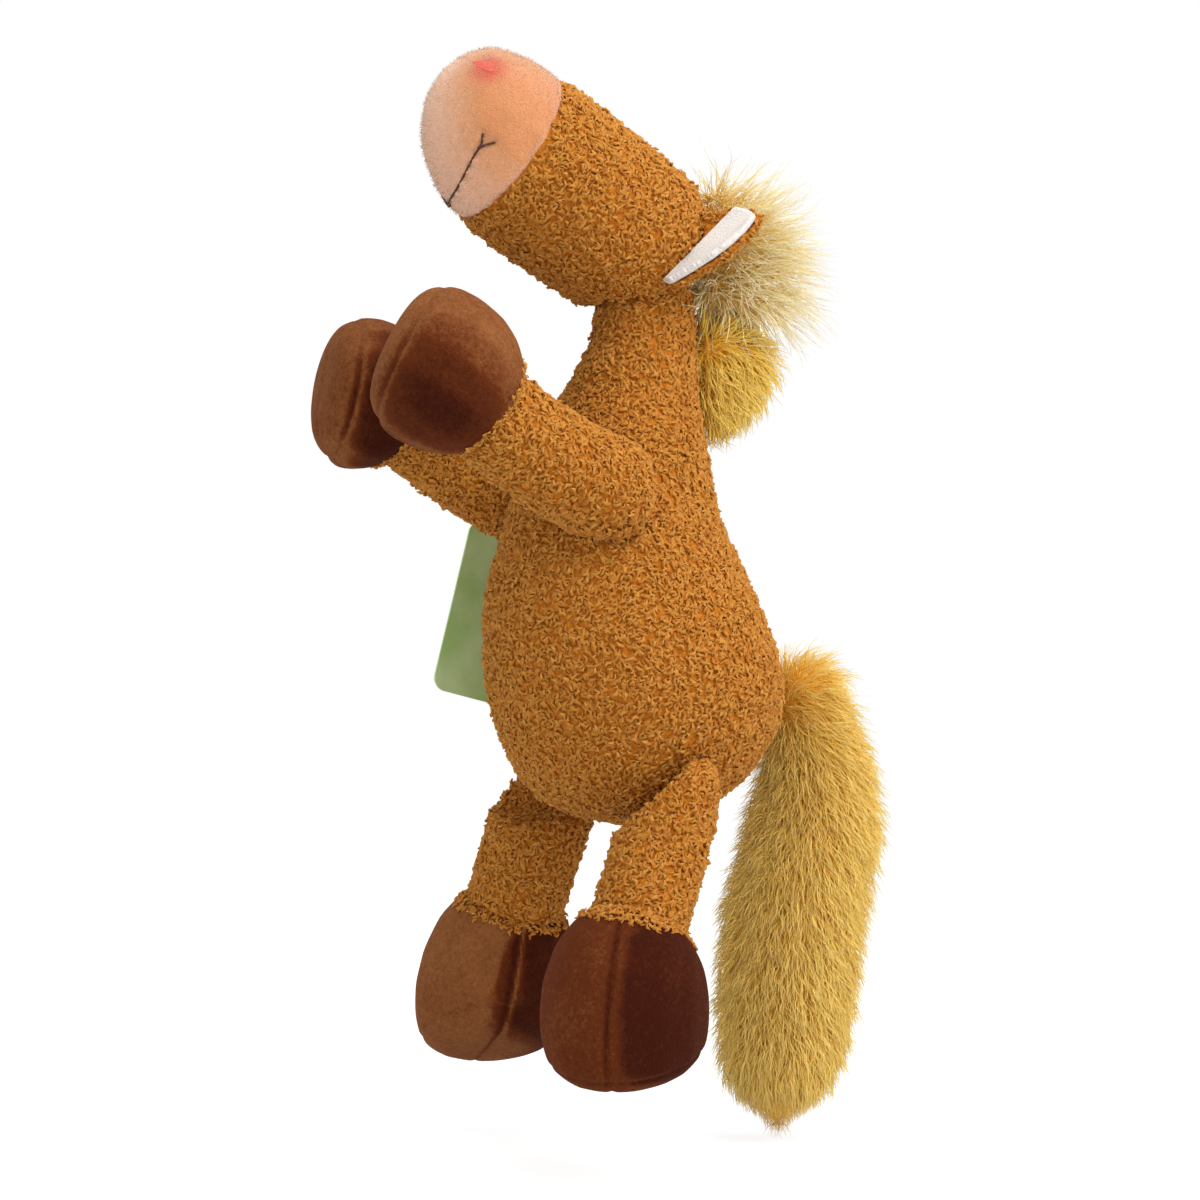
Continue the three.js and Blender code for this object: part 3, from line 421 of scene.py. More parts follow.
def joined_nodes(name: str, nodes: Sequence[str]) -> Piece:
    """One new piece from merged copies of CAD nodes."""
    work = bmesh.new()
    for node in nodes:
        work.from_mesh(frame["nodes"][node].data)
    bmesh.ops.remove_doubles(work, verts=work.verts, dist=0.01 * MM)
    return mesh_piece(name, work)


def settle_modifiers(piece: Piece) -> None:
    """Turns a piece and its modifiers into a plain mesh."""
    shaped = piece.evaluated_get(bpy.context.evaluated_depsgraph_get())
    mesh = bpy.data.meshes.new_from_object(shaped)
    mesh.name = piece.name
    piece.modifiers.clear()
    piece.data = mesh


def rows_of(piece: Piece, what: str) -> np.ndarray:
    """One row of three numbers for each point of a piece's mesh."""
    rows = np.empty(len(piece.data.vertices) * 3, np.float32)
    piece.data.vertices.foreach_get(what, rows)
    return rows.reshape(-1, 3).astype(float)


def places_of(piece: Piece) -> np.ndarray:
    """The places of a piece's points."""
    return rows_of(piece, "co")


def normals_of(piece: Piece) -> np.ndarray:
    """The directions in which a piece's points face."""
    return rows_of(piece, "normal")


def node_places(node: str) -> np.ndarray:
    """The places of a CAD node's points."""
    return places_of(frame["nodes"][node])


def put_places(piece: Piece, places: np.ndarray) -> None:
    """Moves a piece's points to new places."""
    piece.data.vertices.foreach_set("co", places.astype(np.float32).ravel())
    piece.data.update()


def move_out(piece: Piece, far: float) -> None:
    """Moves a piece's points the way they face, by a distance in millimetres."""
    put_places(piece, places_of(piece) + normals_of(piece) * far * MM)


def put_attribute(piece: Piece, name: str, values: np.ndarray) -> None:
    """Stores one number or one direction for each point of a piece."""
    kind, what = ("FLOAT", "value") if values.ndim == 1 else ("FLOAT_VECTOR", "vector")
    layers = piece.data.attributes
    layer = layers.get(name) or layers.new(name, kind, "POINT")
    layer.data.foreach_set(what, values.astype(np.float32).ravel())


def keep_largest_body(mesh: bpy.types.Mesh) -> None:
    """Drops every loose body of a mesh but the one with the most points."""
    work = bmesh.new()
    work.from_mesh(mesh)
    left = set(work.verts)
    bodies = []
    while left:
        stack = [left.pop()]
        body = set(stack)
        while stack:
            for edge in stack.pop().link_edges:
                for point in edge.verts:
                    if point in left:
                        left.remove(point)
                        body.add(point)
                        stack.append(point)
        bodies.append(body)
    if len(bodies) > 1:
        bodies.sort(key=len)
        for body in bodies[:-1]:
            bmesh.ops.delete(work, geom=list(body), context="VERTS")
        work.to_mesh(mesh)
    work.free()


def unit(rows: np.ndarray) -> np.ndarray:
    """Rows scaled to a length of one."""
    return rows / np.maximum(np.linalg.norm(rows, axis=-1, keepdims=True), 1e-9)


def capped(share: np.ndarray) -> np.ndarray:
    """Numbers held between 0 and 1."""
    return np.clip(share, 0, 1)


def nearest_distance(points: np.ndarray, others: np.ndarray) -> np.ndarray:
    """How far each point is from the nearest of some other points."""
    tree = KDTree(len(others))
    for index, place in enumerate(others):
        tree.insert(place, index)
    tree.balance()
    return np.array([tree.find(place)[2] for place in points])


def seam_between(first: str, second: str) -> Plane:
    """The plane between two panels that meet edge to edge.

    Args:
        first: The node that the plane faces.
        second: The node behind it.

    Returns:
        A point on the plane and its direction.
    """
    here, there = node_places(first), node_places(second)
    edge = here[nearest_distance(here, there) < 0.45 * MM]
    middle = edge.mean(axis=0)
    way = np.linalg.svd(edge - middle)[2][2]
    return middle, way * np.sign(way @ (here.mean(axis=0) - there.mean(axis=0)))


def broadest_plane(node: str) -> Plane:
    """The middle of a CAD node's broadest flat face and the direction in which it faces."""
    totals: dict[tuple[float, ...], list] = {}
    for face in frame["nodes"][node].data.polygons:
        total = totals.setdefault(tuple(round(part, 2) for part in face.normal), [0.0, Vector(), Vector()])
        total[0] += face.area
        total[1] += face.center * face.area
        total[2] += face.normal * face.area
    area, centre, way = max(totals.values(), key=lambda entry: entry[0])
    return np.array(centre / area), np.array(way.normalized())


@dataclass(frozen=True)
class Crease:
    """How deep and how wide a seam is pulled into stuffed fabric, in millimetres."""

    depth: float
    width: float

    def press(self, piece: Piece, off: np.ndarray) -> None:
        """Pulls a piece's skin in near a seam, by the distance in metres of each point from it."""
        share = off / (self.width * MM)
        pull = self.depth * MM * np.exp(-(share**2))
        put_places(piece, places_of(piece) - normals_of(piece) * pull[:, None])


def keep_side(piece: Piece, place: np.ndarray, way: np.ndarray) -> None:
    """Cuts a closed piece with a plane and keeps the side that the plane faces, closed again.

    Args:
        piece: The piece.
        place: A point on the plane.
        way: The plane's direction.
    """
    work = bmesh.new()
    work.from_mesh(piece.data)
    everything = [*work.verts, *work.edges, *work.faces]
    cut = bmesh.ops.bisect_plane(work, geom=everything, plane_co=Vector(place), plane_no=Vector(way), clear_inner=True)
    bmesh.ops.holes_fill(work, edges=[item for item in cut["geom_cut"] if isinstance(item, bmesh.types.BMEdge)])
    bmesh.ops.triangulate(work, faces=[face for face in work.faces if len(face.verts) > 4])
    work.to_mesh(piece.data)
    work.free()


def cut_copy(piece: Piece, name: str, planes: Sequence[Plane]) -> Piece:
    """A new piece that is what some planes leave of another."""
    part = new_piece(name, piece.data.copy())
    for place, way in planes:
        keep_side(part, place, way)
    return part


@dataclass
class StuffedForm:
    """A padded fabric form: CAD solids remeshed, softened, and swelled by a short cloth run.

    Lengths are in millimetres: the voxel, how much smaller the run starts, and how far it may move a point.
    """

    name: str
    nodes: Sequence[str]
    voxel: float
    cap: float
    shrink: float = 0.25
    softening: int = 6
    steps: int = 14
    pressure: float = 4.0
    finer: int = 1

    def build(self) -> Piece:
        """Makes the form as a closed mesh in the row frame, with no modifiers left on it."""
        piece = joined_nodes(self.name, self.nodes)
        remesh = piece.modifiers.new("remesh", "REMESH")
        remesh.mode = "VOXEL"
        remesh.voxel_size = self.voxel * MM
        settle_modifiers(piece)
        keep_largest_body(piece.data)
        soften = piece.modifiers.new("soften", "SMOOTH")
        soften.factor = 0.5
        soften.iterations = self.softening
        settle_modifiers(piece)
        move_out(piece, -self.shrink)
        self.swell(piece)
        if self.finer:
            finer = piece.modifiers.new("finer", "SUBSURF")
            finer.levels = self.finer
            finer.render_levels = self.finer
            settle_modifiers(piece)
        return piece

    def swell(self, piece: Piece) -> None:
        """Blows the fabric up from inside with Cloth, then caps how far each point has moved."""
        start = places_of(piece)
        cloth = piece.modifiers.new("cloth", "CLOTH")
        cloth.settings.use_pressure = True
        cloth.settings.uniform_pressure_force = self.pressure
        cloth.settings.effector_weights.gravity = 0
        cloth.settings.quality = 4
        cloth.point_cache.frame_start = 1
        cloth.point_cache.frame_end = self.steps
        for step in range(1, self.steps + 1):
            bpy.context.scene.frame_set(step)
        moved = places_of(piece.evaluated_get(bpy.context.evaluated_depsgraph_get())) - start
        piece.modifiers.clear()
        bpy.context.scene.frame_set(1)
        far = np.linalg.norm(moved, axis=1, keepdims=True)
        limit = self.cap * MM
        share = limit * np.tanh(far / limit) / np.maximum(far, 1e-9)
        put_places(piece, start + moved * share)


def new_tree(name: str, inputs: dict[str, str]) -> tuple[NodeSheet, dict[str, Socket], dict[str, str]]:
    """Starts a Geometry Nodes tree with a geometry in and out and some named inputs.

    Args:
        name: The tree's name.
        inputs: The other inputs' socket types by name.

    Returns:
        The sheet, its inputs' sockets by name, and the identifier of each.
    """
    tree = bpy.data.node_groups.new(name, "GeometryNodeTree")
    for way in ("OUTPUT", "INPUT"):
        tree.interface.new_socket("Geometry", in_out=way, socket_type="NodeSocketGeometry")
    named = {}
    for label, kind in inputs.items():
        named[label] = tree.interface.new_socket(label, in_out="INPUT", socket_type=kind).identifier
    sheet = NodeSheet(tree)
    return sheet, dict(sheet.add("NodeGroupInput").outputs.items()), named


@dataclass
class Coat:
    """A coat of small tubes that is grown on a stuffed form: curls, strands or fuzz.

    Each shape is one Bezier strand of length 1: its start, two handles and end, with Z away from the skin and
    X the way it is combed. The taper gives thickness shares at the root, the middle and the tip. Lengths are in
    millimetres and per_area is a number for each square millimetre.
    """

    name: str
    finish: str
    slot: str
    shapes: Sequence[Sequence[Point]]
    points: int
    taper: tuple[float, float, float]
    per_area: float
    apart: float
    length: float
    thickness: float
    spread: float = math.pi
    combed: bool = True
    sway: float = 0.0
    lock: float = 40.0
    lean: float = 0.35
    tree: bpy.types.NodeTree | None = None
    named: dict[str, str] = field(default_factory=dict)

    def grow(self, name: str, skin: Piece, seed: int, body: str) -> None:
        """Grows the coat on a skin as one plain mesh, and hands it over.

        Args:
            name: The new piece's name.
            skin: The form, with its point attributes coat, pile and, where it is combed, comb.
            seed: The seed of the strands' places and turns.
            body: The body that the coat rides on.
        """
        values = {
            "Strands per area": self.per_area * PER_SQUARE_MM,
            "Least distance": self.apart * MM,
            "Length": self.length * MM,
            "Thickness": self.thickness * MM,
            "Spread": self.spread,
            "Sway": self.sway * MM,
            "Lock size": self.lock,
            "Seed": seed,
            "Finish": finish(self.finish),
        }
        if self.tree is None:
            kinds = dict.fromkeys(values, "NodeSocketFloat")
            self.plant({**kinds, "Seed": "NodeSocketInt", "Finish": "NodeSocketMaterial"})
        piece = new_piece(name, skin.data.copy())
        grown = piece.modifiers.new("coat", "NODES")
        grown.node_group = self.tree
        for label, value in values.items():
            grown[self.named[label]] = value
        settle_modifiers(piece)
        for spare in ("coat", "pile", "comb", "tone", "way", "side"):
            layer = piece.data.attributes.get(spare)
            if layer is not None:
                piece.data.attributes.remove(layer)
        hand_over(piece, body)

    def plant(self, inputs: dict[str, str]) -> None:
        """Builds the tree that grows the coat, with inputs of these socket types."""
        sheet, given, self.named = new_tree(self.name, inputs)
        self.tree = sheet.tree
        seed = given["Seed"]
        scatter = {
            "Mesh": given["Geometry"],
            "Distance Min": given["Least distance"],
            "Density Max": given["Strands per area"],
            "Density Factor": sheet.named("coat"),
            "Seed": seed,
        }
        roots = sheet.add("GeometryNodeDistributePointsOnFaces", scatter, distribute_method="POISSON").outputs
        lying = sheet.stored(roots["Points"], "lie", roots["Normal"], kind="FLOAT_VECTOR")
        size = sheet.math("MULTIPLY", given["Length"], sheet.random(0.75, 1.2, seed))
        planting = {
            "Points": lying,
            "Instance": self.kinds(sheet, sheet.math("DIVIDE", given["Thickness"], given["Length"])),
            "Pick Instance": True,
            "Instance Index": sheet.random(0, len(self.shapes) - 1, 7, "INT"),
            "Rotation": self.turns(sheet, roots["Rotation"], given["Spread"], seed),
            "Scale": sheet.math("MULTIPLY", size, sheet.named("pile")),
        }
        planted = sheet.add("GeometryNodeInstanceOnPoints", planting).outputs[0]
        broad = sheet.noise(sheet.add("GeometryNodeInputPosition").outputs[0], 150.0)
        own = sheet.math("MULTIPLY", sheet.random(0.0, 1.0, 3), 0.5)
        tone = sheet.math("ADD", own, sheet.math("MULTIPLY", broad, 0.5))
        toned = sheet.stored(planted, "tone", tone, domain="INSTANCE")
        real = sheet.add("GeometryNodeRealizeInstances", {0: toned}).outputs[0]
        way = sheet.named("way")
        locks = sheet.add("ShaderNodeTexNoise", {"Scale": given["Lock size"], "Detail": 1.0}).outputs[1]
        reach = sheet.math("MULTIPLY", given["Sway"], sheet.math("POWER", way, 1.5))
        offset = sheet.vector("SCALE", sheet.vector("SUBTRACT", locks, (0.5, 0.5, 0.5)), reach)
        swayed = sheet.add("GeometryNodeSetPosition", {"Geometry": real, "Offset": offset}).outputs[0]
        shares = [sheet.math("MULTIPLY", sheet.named(word), share) for word, share in (("tone", 0.9), ("side", 0.05))]
        across = sheet.math("ADD", sheet.math("ADD", *shares), 0.02)
        flat = sheet.add("ShaderNodeCombineXYZ", {0: across, 1: way}).outputs[0]
        mapped = sheet.stored(swayed, "OFBake", flat, kind="FLOAT2", domain="CORNER")
        finished = sheet.add("GeometryNodeSetMaterial", {"Geometry": mapped, "Material": given["Finish"]})
        smooth = sheet.add("GeometryNodeSetShadeSmooth", {0: finished.outputs[0]})
        sheet.add("NodeGroupOutput", {0: smooth.outputs[0]})

    def kinds(self, sheet: NodeSheet, wide: Socket) -> Socket:
        """Makes every strand shape as a tube, joined as instances to pick from.

        Args:
            sheet: The tree's sheet.
            wide: How thick a strand of length 1 is.

        Returns:
            The instances.
        """
        way = sheet.add("GeometryNodeSplineParameter").outputs["Factor"]
        narrowing = sheet.add("ShaderNodeFloatCurve", {"Value": way})
        curve = narrowing.mapping.curves[0]
        curve.points[0].location = (0, self.taper[0])
        curve.points[1].location = (1, self.taper[2])
        curve.points.new(0.5, self.taper[1])
        narrowing.mapping.update()
        radius = sheet.math("MULTIPLY", wide, sheet.math("MULTIPLY", narrowing.outputs[0], 0.5))
        ring = sheet.add("GeometryNodeCurvePrimitiveCircle", {"Resolution": 3, "Radius": 1.0}).outputs[0]
        profile = sheet.stored(ring, "side", sheet.add("GeometryNodeSplineParameter").outputs["Factor"])
        joined = sheet.add("GeometryNodeJoinGeometry")
        for start, first, second, end in self.shapes:
            bend = {"Start": start, "Start Handle": first, "End Handle": second, "End": end}
            bend["Resolution"] = self.points - 1
            spine = sheet.add("GeometryNodeCurvePrimitiveBezierSegment", bend).outputs[0]
            evened = sheet.add("GeometryNodeResampleCurve", {"Curve": spine, "Count": self.points}).outputs[0]
            sweep = {"Curve": sheet.stored(evened, "way", way), "Profile Curve": profile}
            tube = sheet.add("GeometryNodeCurveToMesh", {**sweep, "Scale": radius, "Fill Caps": True}).outputs[0]
            one = sheet.add("GeometryNodeGeometryToInstance", {"Geometry": tube}).outputs[0]
            sheet.tree.links.new(one, joined.inputs[0])
        return joined.outputs[0]

    def turns(self, sheet: NodeSheet, rotation: Socket, spread: Socket, seed: Socket) -> Socket:
        """Turns each strand along its comb direction, and then a little at random.

        Args:
            sheet: The tree's sheet.
            rotation: The rotation of the skin below each strand.
            spread: How far a strand may turn about the skin's normal.
            seed: The seed.

        Returns:
            The rotation of each strand.
        """
        if self.combed:
            along = {"Rotation": rotation, "Vector": sheet.named("comb", "FLOAT_VECTOR")}
            aligned = sheet.add("FunctionNodeAlignRotationToVector", along, axis="X", pivot_axis="Z")
            rotation = aligned.outputs[0]
        back = sheet.math("MULTIPLY", spread, -1.0)
        low = sheet.add("ShaderNodeCombineXYZ", {0: -self.lean, 1: -self.lean, 2: back}).outputs[0]
        high = sheet.add("ShaderNodeCombineXYZ", {0: self.lean, 1: self.lean, 2: spread}).outputs[0]
        angles = sheet.random(low, high, seed, "FLOAT_VECTOR")
        by = sheet.add("FunctionNodeEulerToRotation", {0: angles}).outputs[0]
        both = {"Rotation": rotation, "Rotate By": by}
        return sheet.add("FunctionNodeRotateRotation", both, rotation_space="LOCAL").outputs[0]


CURL_SHAPES = (
    ((0, 0, -0.12), (0.1, 0.1, 0.2), (0.7, 0.15, 0.2), (0.85, -0.2, 0.0)),
    ((-0.1, -0.42, -0.06), (0.45, -0.35, 0.2), (0.45, 0.35, 0.2), (-0.1, 0.45, 0.0)),
    ((-0.55, 0, -0.06), (-0.1, 0.7, 0.18), (0.1, -0.7, 0.2), (0.55, 0, 0.02)),
    ((0, -0.15, -0.1), (0.8, -0.55, 0.22), (0.75, 0.65, 0.26), (0.0, 0.2, 0.1)),
    ((0, 0, -0.1), (0.2, 0.35, 0.26), (0.5, -0.4, 0.3), (0.8, 0.1, 0.28)),
)
STRAND_SHAPES = (
    ((0, 0, -0.06), (0.04, 0, 0.34), (0.35, 0.05, 0.5), (0.8, 0.08, 0.56)),
    ((0, 0, -0.06), (0.05, 0.05, 0.3), (0.4, 0.1, 0.42), (0.86, -0.1, 0.42)),
    ((0, 0, -0.06), (0.0, -0.06, 0.4), (0.25, -0.1, 0.66), (0.6, 0.05, 0.76)),
)
WISP_SHAPES = (
    ((0, 0, -0.06), (0.0, 0.04, 0.4), (0.1, 0.1, 0.7), (0.22, 0.05, 0.97)),
    ((0, 0, -0.06), (0.04, 0.0, 0.35), (0.2, -0.1, 0.62), (0.45, -0.05, 0.86)),
    ((0, 0, -0.06), (0.0, -0.05, 0.4), (0.05, 0.08, 0.7), (0.05, -0.1, 1.0)),
)
FUZZ_SHAPES = (
    ((0, 0, -0.1), (0.0, 0.02, 0.4), (0.1, 0.02, 0.75), (0.3, 0, 1.0)),
    ((0, 0, -0.1), (0.05, 0, 0.35), (0.2, -0.05, 0.65), (0.5, 0, 0.85)),
)
FLEECE_COAT = Coat(
    "fleece_coat", "ochre_curls", "curly_fleece", CURL_SHAPES, points=4, taper=(0.7, 1.0, 0.3),
    per_area=1.15, apart=0.6, length=2.9, thickness=1.15, combed=False,
)
TAIL_COAT = Coat(
    "tail_coat", "pale_yellow_pile", "yellow_pile", STRAND_SHAPES, points=4, taper=(1.0, 0.85, 0.15),
    per_area=2.9, apart=0.28, length=9.5, thickness=0.28, spread=0.5, sway=3.0, lock=110.0,
)
MANE_COAT = Coat(
    "mane_coat", "bright_yellow_pile", "yellow_pile", STRAND_SHAPES, points=4, taper=(1.0, 0.85, 0.15),
    per_area=2.8, apart=0.3, length=9.0, thickness=0.36, spread=0.6, sway=4.0, lock=120.0,
)
WISP_COAT = Coat(
    "wisp_coat", "wispy_yellow_pile", "yellow_pile", WISP_SHAPES, points=5, taper=(1.0, 0.8, 0.12),
    per_area=2.2, apart=0.35, length=17.0, thickness=0.3, spread=0.9, sway=7.0, lock=80.0,
)
FUZZ_COAT = Coat(
    "fuzz_coat", "peach_fuzz", "peach_velour", FUZZ_SHAPES, points=3, taper=(1.0, 0.8, 0.2),
    per_area=1.0, apart=0.5, length=0.8, thickness=0.12, combed=False,
)


@cache
def stitch_tree() -> tuple[bpy.types.NodeTree, dict[str, str]]:
    """The tree that lays stitches end over end along the edges of a mesh, and its inputs' identifiers."""
    inputs = {"Stitch length": "NodeSocketFloat", "Thread radius": "NodeSocketFloat"}
    sheet, given, named = new_tree("stitches", inputs)
    length, radius = given["Stitch length"], given["Thread radius"]
    route = sheet.add("GeometryNodeMeshToCurve", {0: given["Geometry"]}).outputs[0]
    steps = {"Curve": route, "Length": sheet.math("MULTIPLY", length, 0.72)}
    evened = sheet.add("GeometryNodeResampleCurve", steps, mode="LENGTH").outputs[0]
    along = sheet.add("GeometryNodeInputTangent").outputs[0]
    turn = sheet.add("FunctionNodeAlignRotationToVector", {"Vector": along}, axis="Z").outputs[0]
    bead = sheet.add("GeometryNodeMeshUVSphere", {"Segments": 8, "Rings": 6, "Radius": 1.0}).outputs[0]
    half = sheet.math("MULTIPLY", length, 0.5)
    size = sheet.add("ShaderNodeCombineXYZ", {0: radius, 1: radius, 2: half}).outputs[0]
    planting = {"Points": evened, "Instance": bead, "Rotation": turn, "Scale": size}
    planted = sheet.add("GeometryNodeInstanceOnPoints", planting).outputs[0]
    real = sheet.add("GeometryNodeRealizeInstances", {0: planted}).outputs[0]
    finished = sheet.add("GeometryNodeSetMaterial", {"Geometry": real})
    sheet.add("NodeGroupOutput", {0: finished.outputs[0]})
    return sheet.tree, named


def sew(name: str, runs: Sequence[Sequence[Vector]], length: float, radius: float, thread: str, node: str) -> None:
    """Lays a line of stitches on the head along each run of places.

    Args:
        name: The new piece's name.
        runs: Rows of places, in metres.
        length: The length of a stitch in millimetres.
        radius: The radius of the thread in millimetres.
        thread: The thread's finish.
        node: The CAD node that the stitches stand for.
    """
    edges: list[tuple[int, int]] = []
    first = 0
    for run in runs:
        edges += [(first + step, first + step + 1) for step in range(len(run) - 1)]
        first += len(run)
    mesh = bpy.data.meshes.new(name)
    mesh.from_pydata([place for run in runs for place in run], edges, [])
    piece = new_piece(name, mesh)
    sewn = piece.modifiers.new("stitches", "NODES")
    sewn.node_group, named = stitch_tree()
    sewn[named["Stitch length"]] = length * MM
    sewn[named["Thread radius"]] = radius * MM
    settle_modifiers(piece)
    dress(piece, finish(thread))
    hand_over(piece, "head", [node])


def surface_of(piece: Piece) -> BVHTree:
    """A piece's surface, to find places on."""
    corners = [point.co.copy() for point in piece.data.vertices]
    return BVHTree.FromPolygons(corners, [tuple(face.vertices) for face in piece.data.polygons])


def joint_place(name: str) -> Vector:
    """Where a joint of the frame lies, in metres."""
    return Vector(next(entry for entry in frame["joints"] if entry["name"] == name)["pos_m"])


@dataclass
class Studio:
    """The floor, the lamps and the camera, which looks at a place below and ahead of the neck's joint.

    Each lamp is its name, its place and its side in metres, and its power in watts.
    """

    azimuth: float = 65.0
    distance: float = 900.0
    focal_pixels: float = 3214.0
    sensor: float = 36.0
    ahead_of_neck: float = 14.0
    below_neck: float = 83.6
    floor_reach: float = 6.0
    room_light: float = 0.56
    lamps: Sequence[tuple[str, Point, float, float]] = (
        ("main_lamp", (0.75, 0.15, 0.95), 0.7, 7.5),
        ("top_lamp", (-0.1, 0.1, 1.2), 0.8, 4.5),
        ("fill_lamp", (0.45, -0.9, 0.35), 0.7, 1.2),
        ("rear_lamp", (0.7, 0.75, 0.45), 0.6, 2.8),
    )

    def aim(self) -> Vector:
        """The place that the camera looks at, in metres."""
        return joint_place("head_nod") - Vector((0, self.ahead_of_neck, self.below_neck)) * MM

    def ways(self) -> tuple[Vector, Vector, Vector]:
        """The directions to the right, up and towards the camera in the photograph."""
        turn = math.radians(self.azimuth)
        right = Vector((math.cos(turn), math.sin(turn), 0))
        return right, Vector((0, 0, 1)), Vector((math.sin(turn), -math.cos(turn), 0))

    def eye(self) -> Vector:
        """Where the camera stands, in metres."""
        return self.aim() + self.ways()[2] * self.distance * MM

    def ray(self, across: float, down: float) -> tuple[Vector, Vector]:
        """The line of sight through a pixel of the photograph: where it starts and its direction.

        Args:
            across: Pixels from the left.
            down: Pixels from the top.

        Returns:
            Where it starts and its direction.
        """
        right, up, towards = self.ways()
        half = PICTURE / 2
        way = -towards * self.focal_pixels + right * (across - half) - up * (down - half)
        return self.eye(), way.normalized()

    def build(self) -> None:
        """Sets up the view, the light and the floor."""
        self.place_camera()
        self.lay_floor()
        for lamp in self.lamps:
            self.hang_lamp(*lamp)
        self.light_room()

    def place_camera(self) -> None:
        """Puts the camera where the photograph was taken from."""
        data = bpy.data.cameras.new("camera")
        data.sensor_width = self.sensor
        data.lens = self.sensor * self.focal_pixels / PICTURE
        data.clip_start = 0.01
        data.clip_end = 50
        camera = new_piece("camera", data)
        camera.location = self.eye()
        camera.rotation_euler = self.ways()[2].to_track_quat("Z", "Y").to_euler()
        bpy.context.scene.camera = camera

    def lay_floor(self) -> None:
        """Lays a pale floor that keeps the horse's shadow and runs into a white distance."""
        mesh = bpy.data.meshes.new("floor")
        signs = ((-1, -1), (1, -1), (1, 1), (-1, 1))
        corners = [(across * self.floor_reach, deep * self.floor_reach, 0) for across, deep in signs]
        mesh.from_pydata(corners, [], [(0, 1, 2, 3)])
        floor = new_piece("floor", mesh)
        material, sheet = new_finish("floor_paper")
        matt = sheet.add("ShaderNodeBsdfDiffuse", {"Color": (0.8, 0.8, 0.8, 1)}).outputs[0]
        paper = sheet.add("ShaderNodeBsdfDiffuse", {"Color": (0.35, 0.35, 0.35, 1)}).outputs[0]
        glow = sheet.add("ShaderNodeEmission", {"Color": WHITE, "Strength": 0.8}).outputs[0]
        both = sheet.add("ShaderNodeAddShader", {0: paper, 1: glow}).outputs[0]
        mixed = sheet.add("ShaderNodeMixShader", {0: self.seen(sheet), 1: matt, 2: both}).outputs[0]
        sheet.add("ShaderNodeOutputMaterial", {"Surface": mixed})
        mesh.materials.append(material)

    def seen(self, sheet: NodeSheet) -> Socket:
        """One where the camera looks, straight, in a reflection or through something clear."""
        path = sheet.add("ShaderNodeLightPath").outputs
        straight = sheet.math("MAXIMUM", path["Is Camera Ray"], path["Is Glossy Ray"])
        return sheet.math("MAXIMUM", straight, path["Is Transmission Ray"])

    def hang_lamp(self, name: str, place: Point, size: float, power: float) -> None:
        """Hangs one square soft lamp that points at the horse.

        Args:
            name: The lamp's name.
            place: Where it hangs, in metres.
            size: Its side, in metres.
            power: Its power in watts.
        """
        data = bpy.data.lights.new(name, "AREA")
        data.size = size
        data.energy = power
        lamp = new_piece(name, data)
        lamp.location = place
        lamp.rotation_euler = (Vector(place) - self.aim()).to_track_quat("Z", "Y").to_euler()

    def light_room(self) -> None:
        """Lights the room evenly and shows it white to the camera."""
        world = bpy.data.worlds.new("room")
        bpy.context.scene.world = world
        world.use_nodes = True
        sheet = NodeSheet(world.node_tree)
        room, white = (
            sheet.add("ShaderNodeBackground", {"Color": WHITE, "Strength": strength}).outputs[0]
            for strength in (self.room_light, 1.0)
        )
        mixed = sheet.add("ShaderNodeMixShader", {0: self.seen(sheet), 1: room, 2: white}).outputs[0]
        sheet.add("ShaderNodeOutputWorld", {"Surface": mixed})
        bpy.context.scene.view_settings.view_transform = "Standard"


STUDIO = Studio()


def full_coat(skin: Piece, keep: np.ndarray | None = None, pile: np.ndarray | None = None) -> None:
    """Marks where a skin is coated and how long its pile is, all over unless told otherwise."""
    every = np.ones(len(skin.data.vertices))
    put_attribute(skin, "coat", every if keep is None else keep)
    put_attribute(skin, "pile", every if pile is None else pile)


def backed_form(backing_name: str, name: str, nodes: Sequence[str], **sizes: float) -> Piece:
    """A stuffed form in the backing that a coat grows on."""
    form = StuffedForm(name, nodes, finer=0, **sizes).build()
    dress(form, finish(backing_name))
    return form


@dataclass
class Torso:
    """The pear-shaped fleece torso with its neck, whose curls come in four panels."""

    voxel: float = 2.8
    waist: float = 0.33
    overlap: float = 3.0

    def build(self) -> None:
        """Builds the stuffed torso and its curls."""
        nodes = ["torso_skin", "torso_stuffing", "torso_pellet_bag"]
        form = backed_form("ochre_backing", "torso_fleece", nodes, voxel=self.voxel, cap=1.6)
        places = places_of(form)
        low, high = places.min(axis=0), places.max(axis=0)
        front = capped((0.5 * (low[1] + high[1]) - places[:, 1]) / self.overlap / MM + 0.5)
        upper = capped((places[:, 2] - low[2] - self.waist * (high[2] - low[2])) / self.overlap / MM + 0.5)
        panels = (
            ("chest", front * upper),
            ("belly", front * (1 - upper)),
            ("back", (1 - front) * upper),
            ("seat", (1 - front) * (1 - upper)),
        )
        for seed, (word, share) in enumerate(panels, start=11):
            full_coat(form, keep=share)
            FLEECE_COAT.grow(f"{word}_curls", form, seed, "torso")
        hand_over(form, "torso", nodes)


@dataclass(frozen=True)
class Nap:
    """Painted shade and light on velour: it is painted dark round one direction, given as right, up and towards the
    camera.

    From near to far, in degrees round it, the painted shade goes over to its light level.
    """

    dark: Point
    near: float
    far: float
    light: float
    deepest: float = 0.0

    def levels(self, ways: np.ndarray) -> np.ndarray:
        """How light each point of a form is painted, from 0 to 1, by the direction in which it faces."""
        right, up, towards = (np.array(way) for way in STUDIO.ways())
        middle = self.dark[0] * right + self.dark[1] * up + self.dark[2] * towards
        off = np.degrees(np.arccos(np.clip(ways @ unit(middle[None])[0], -1, 1)))
        share = capped((off - self.near) / (self.far - self.near))
        return self.deepest + (self.light - self.deepest) * share * share * (3 - 2 * share)


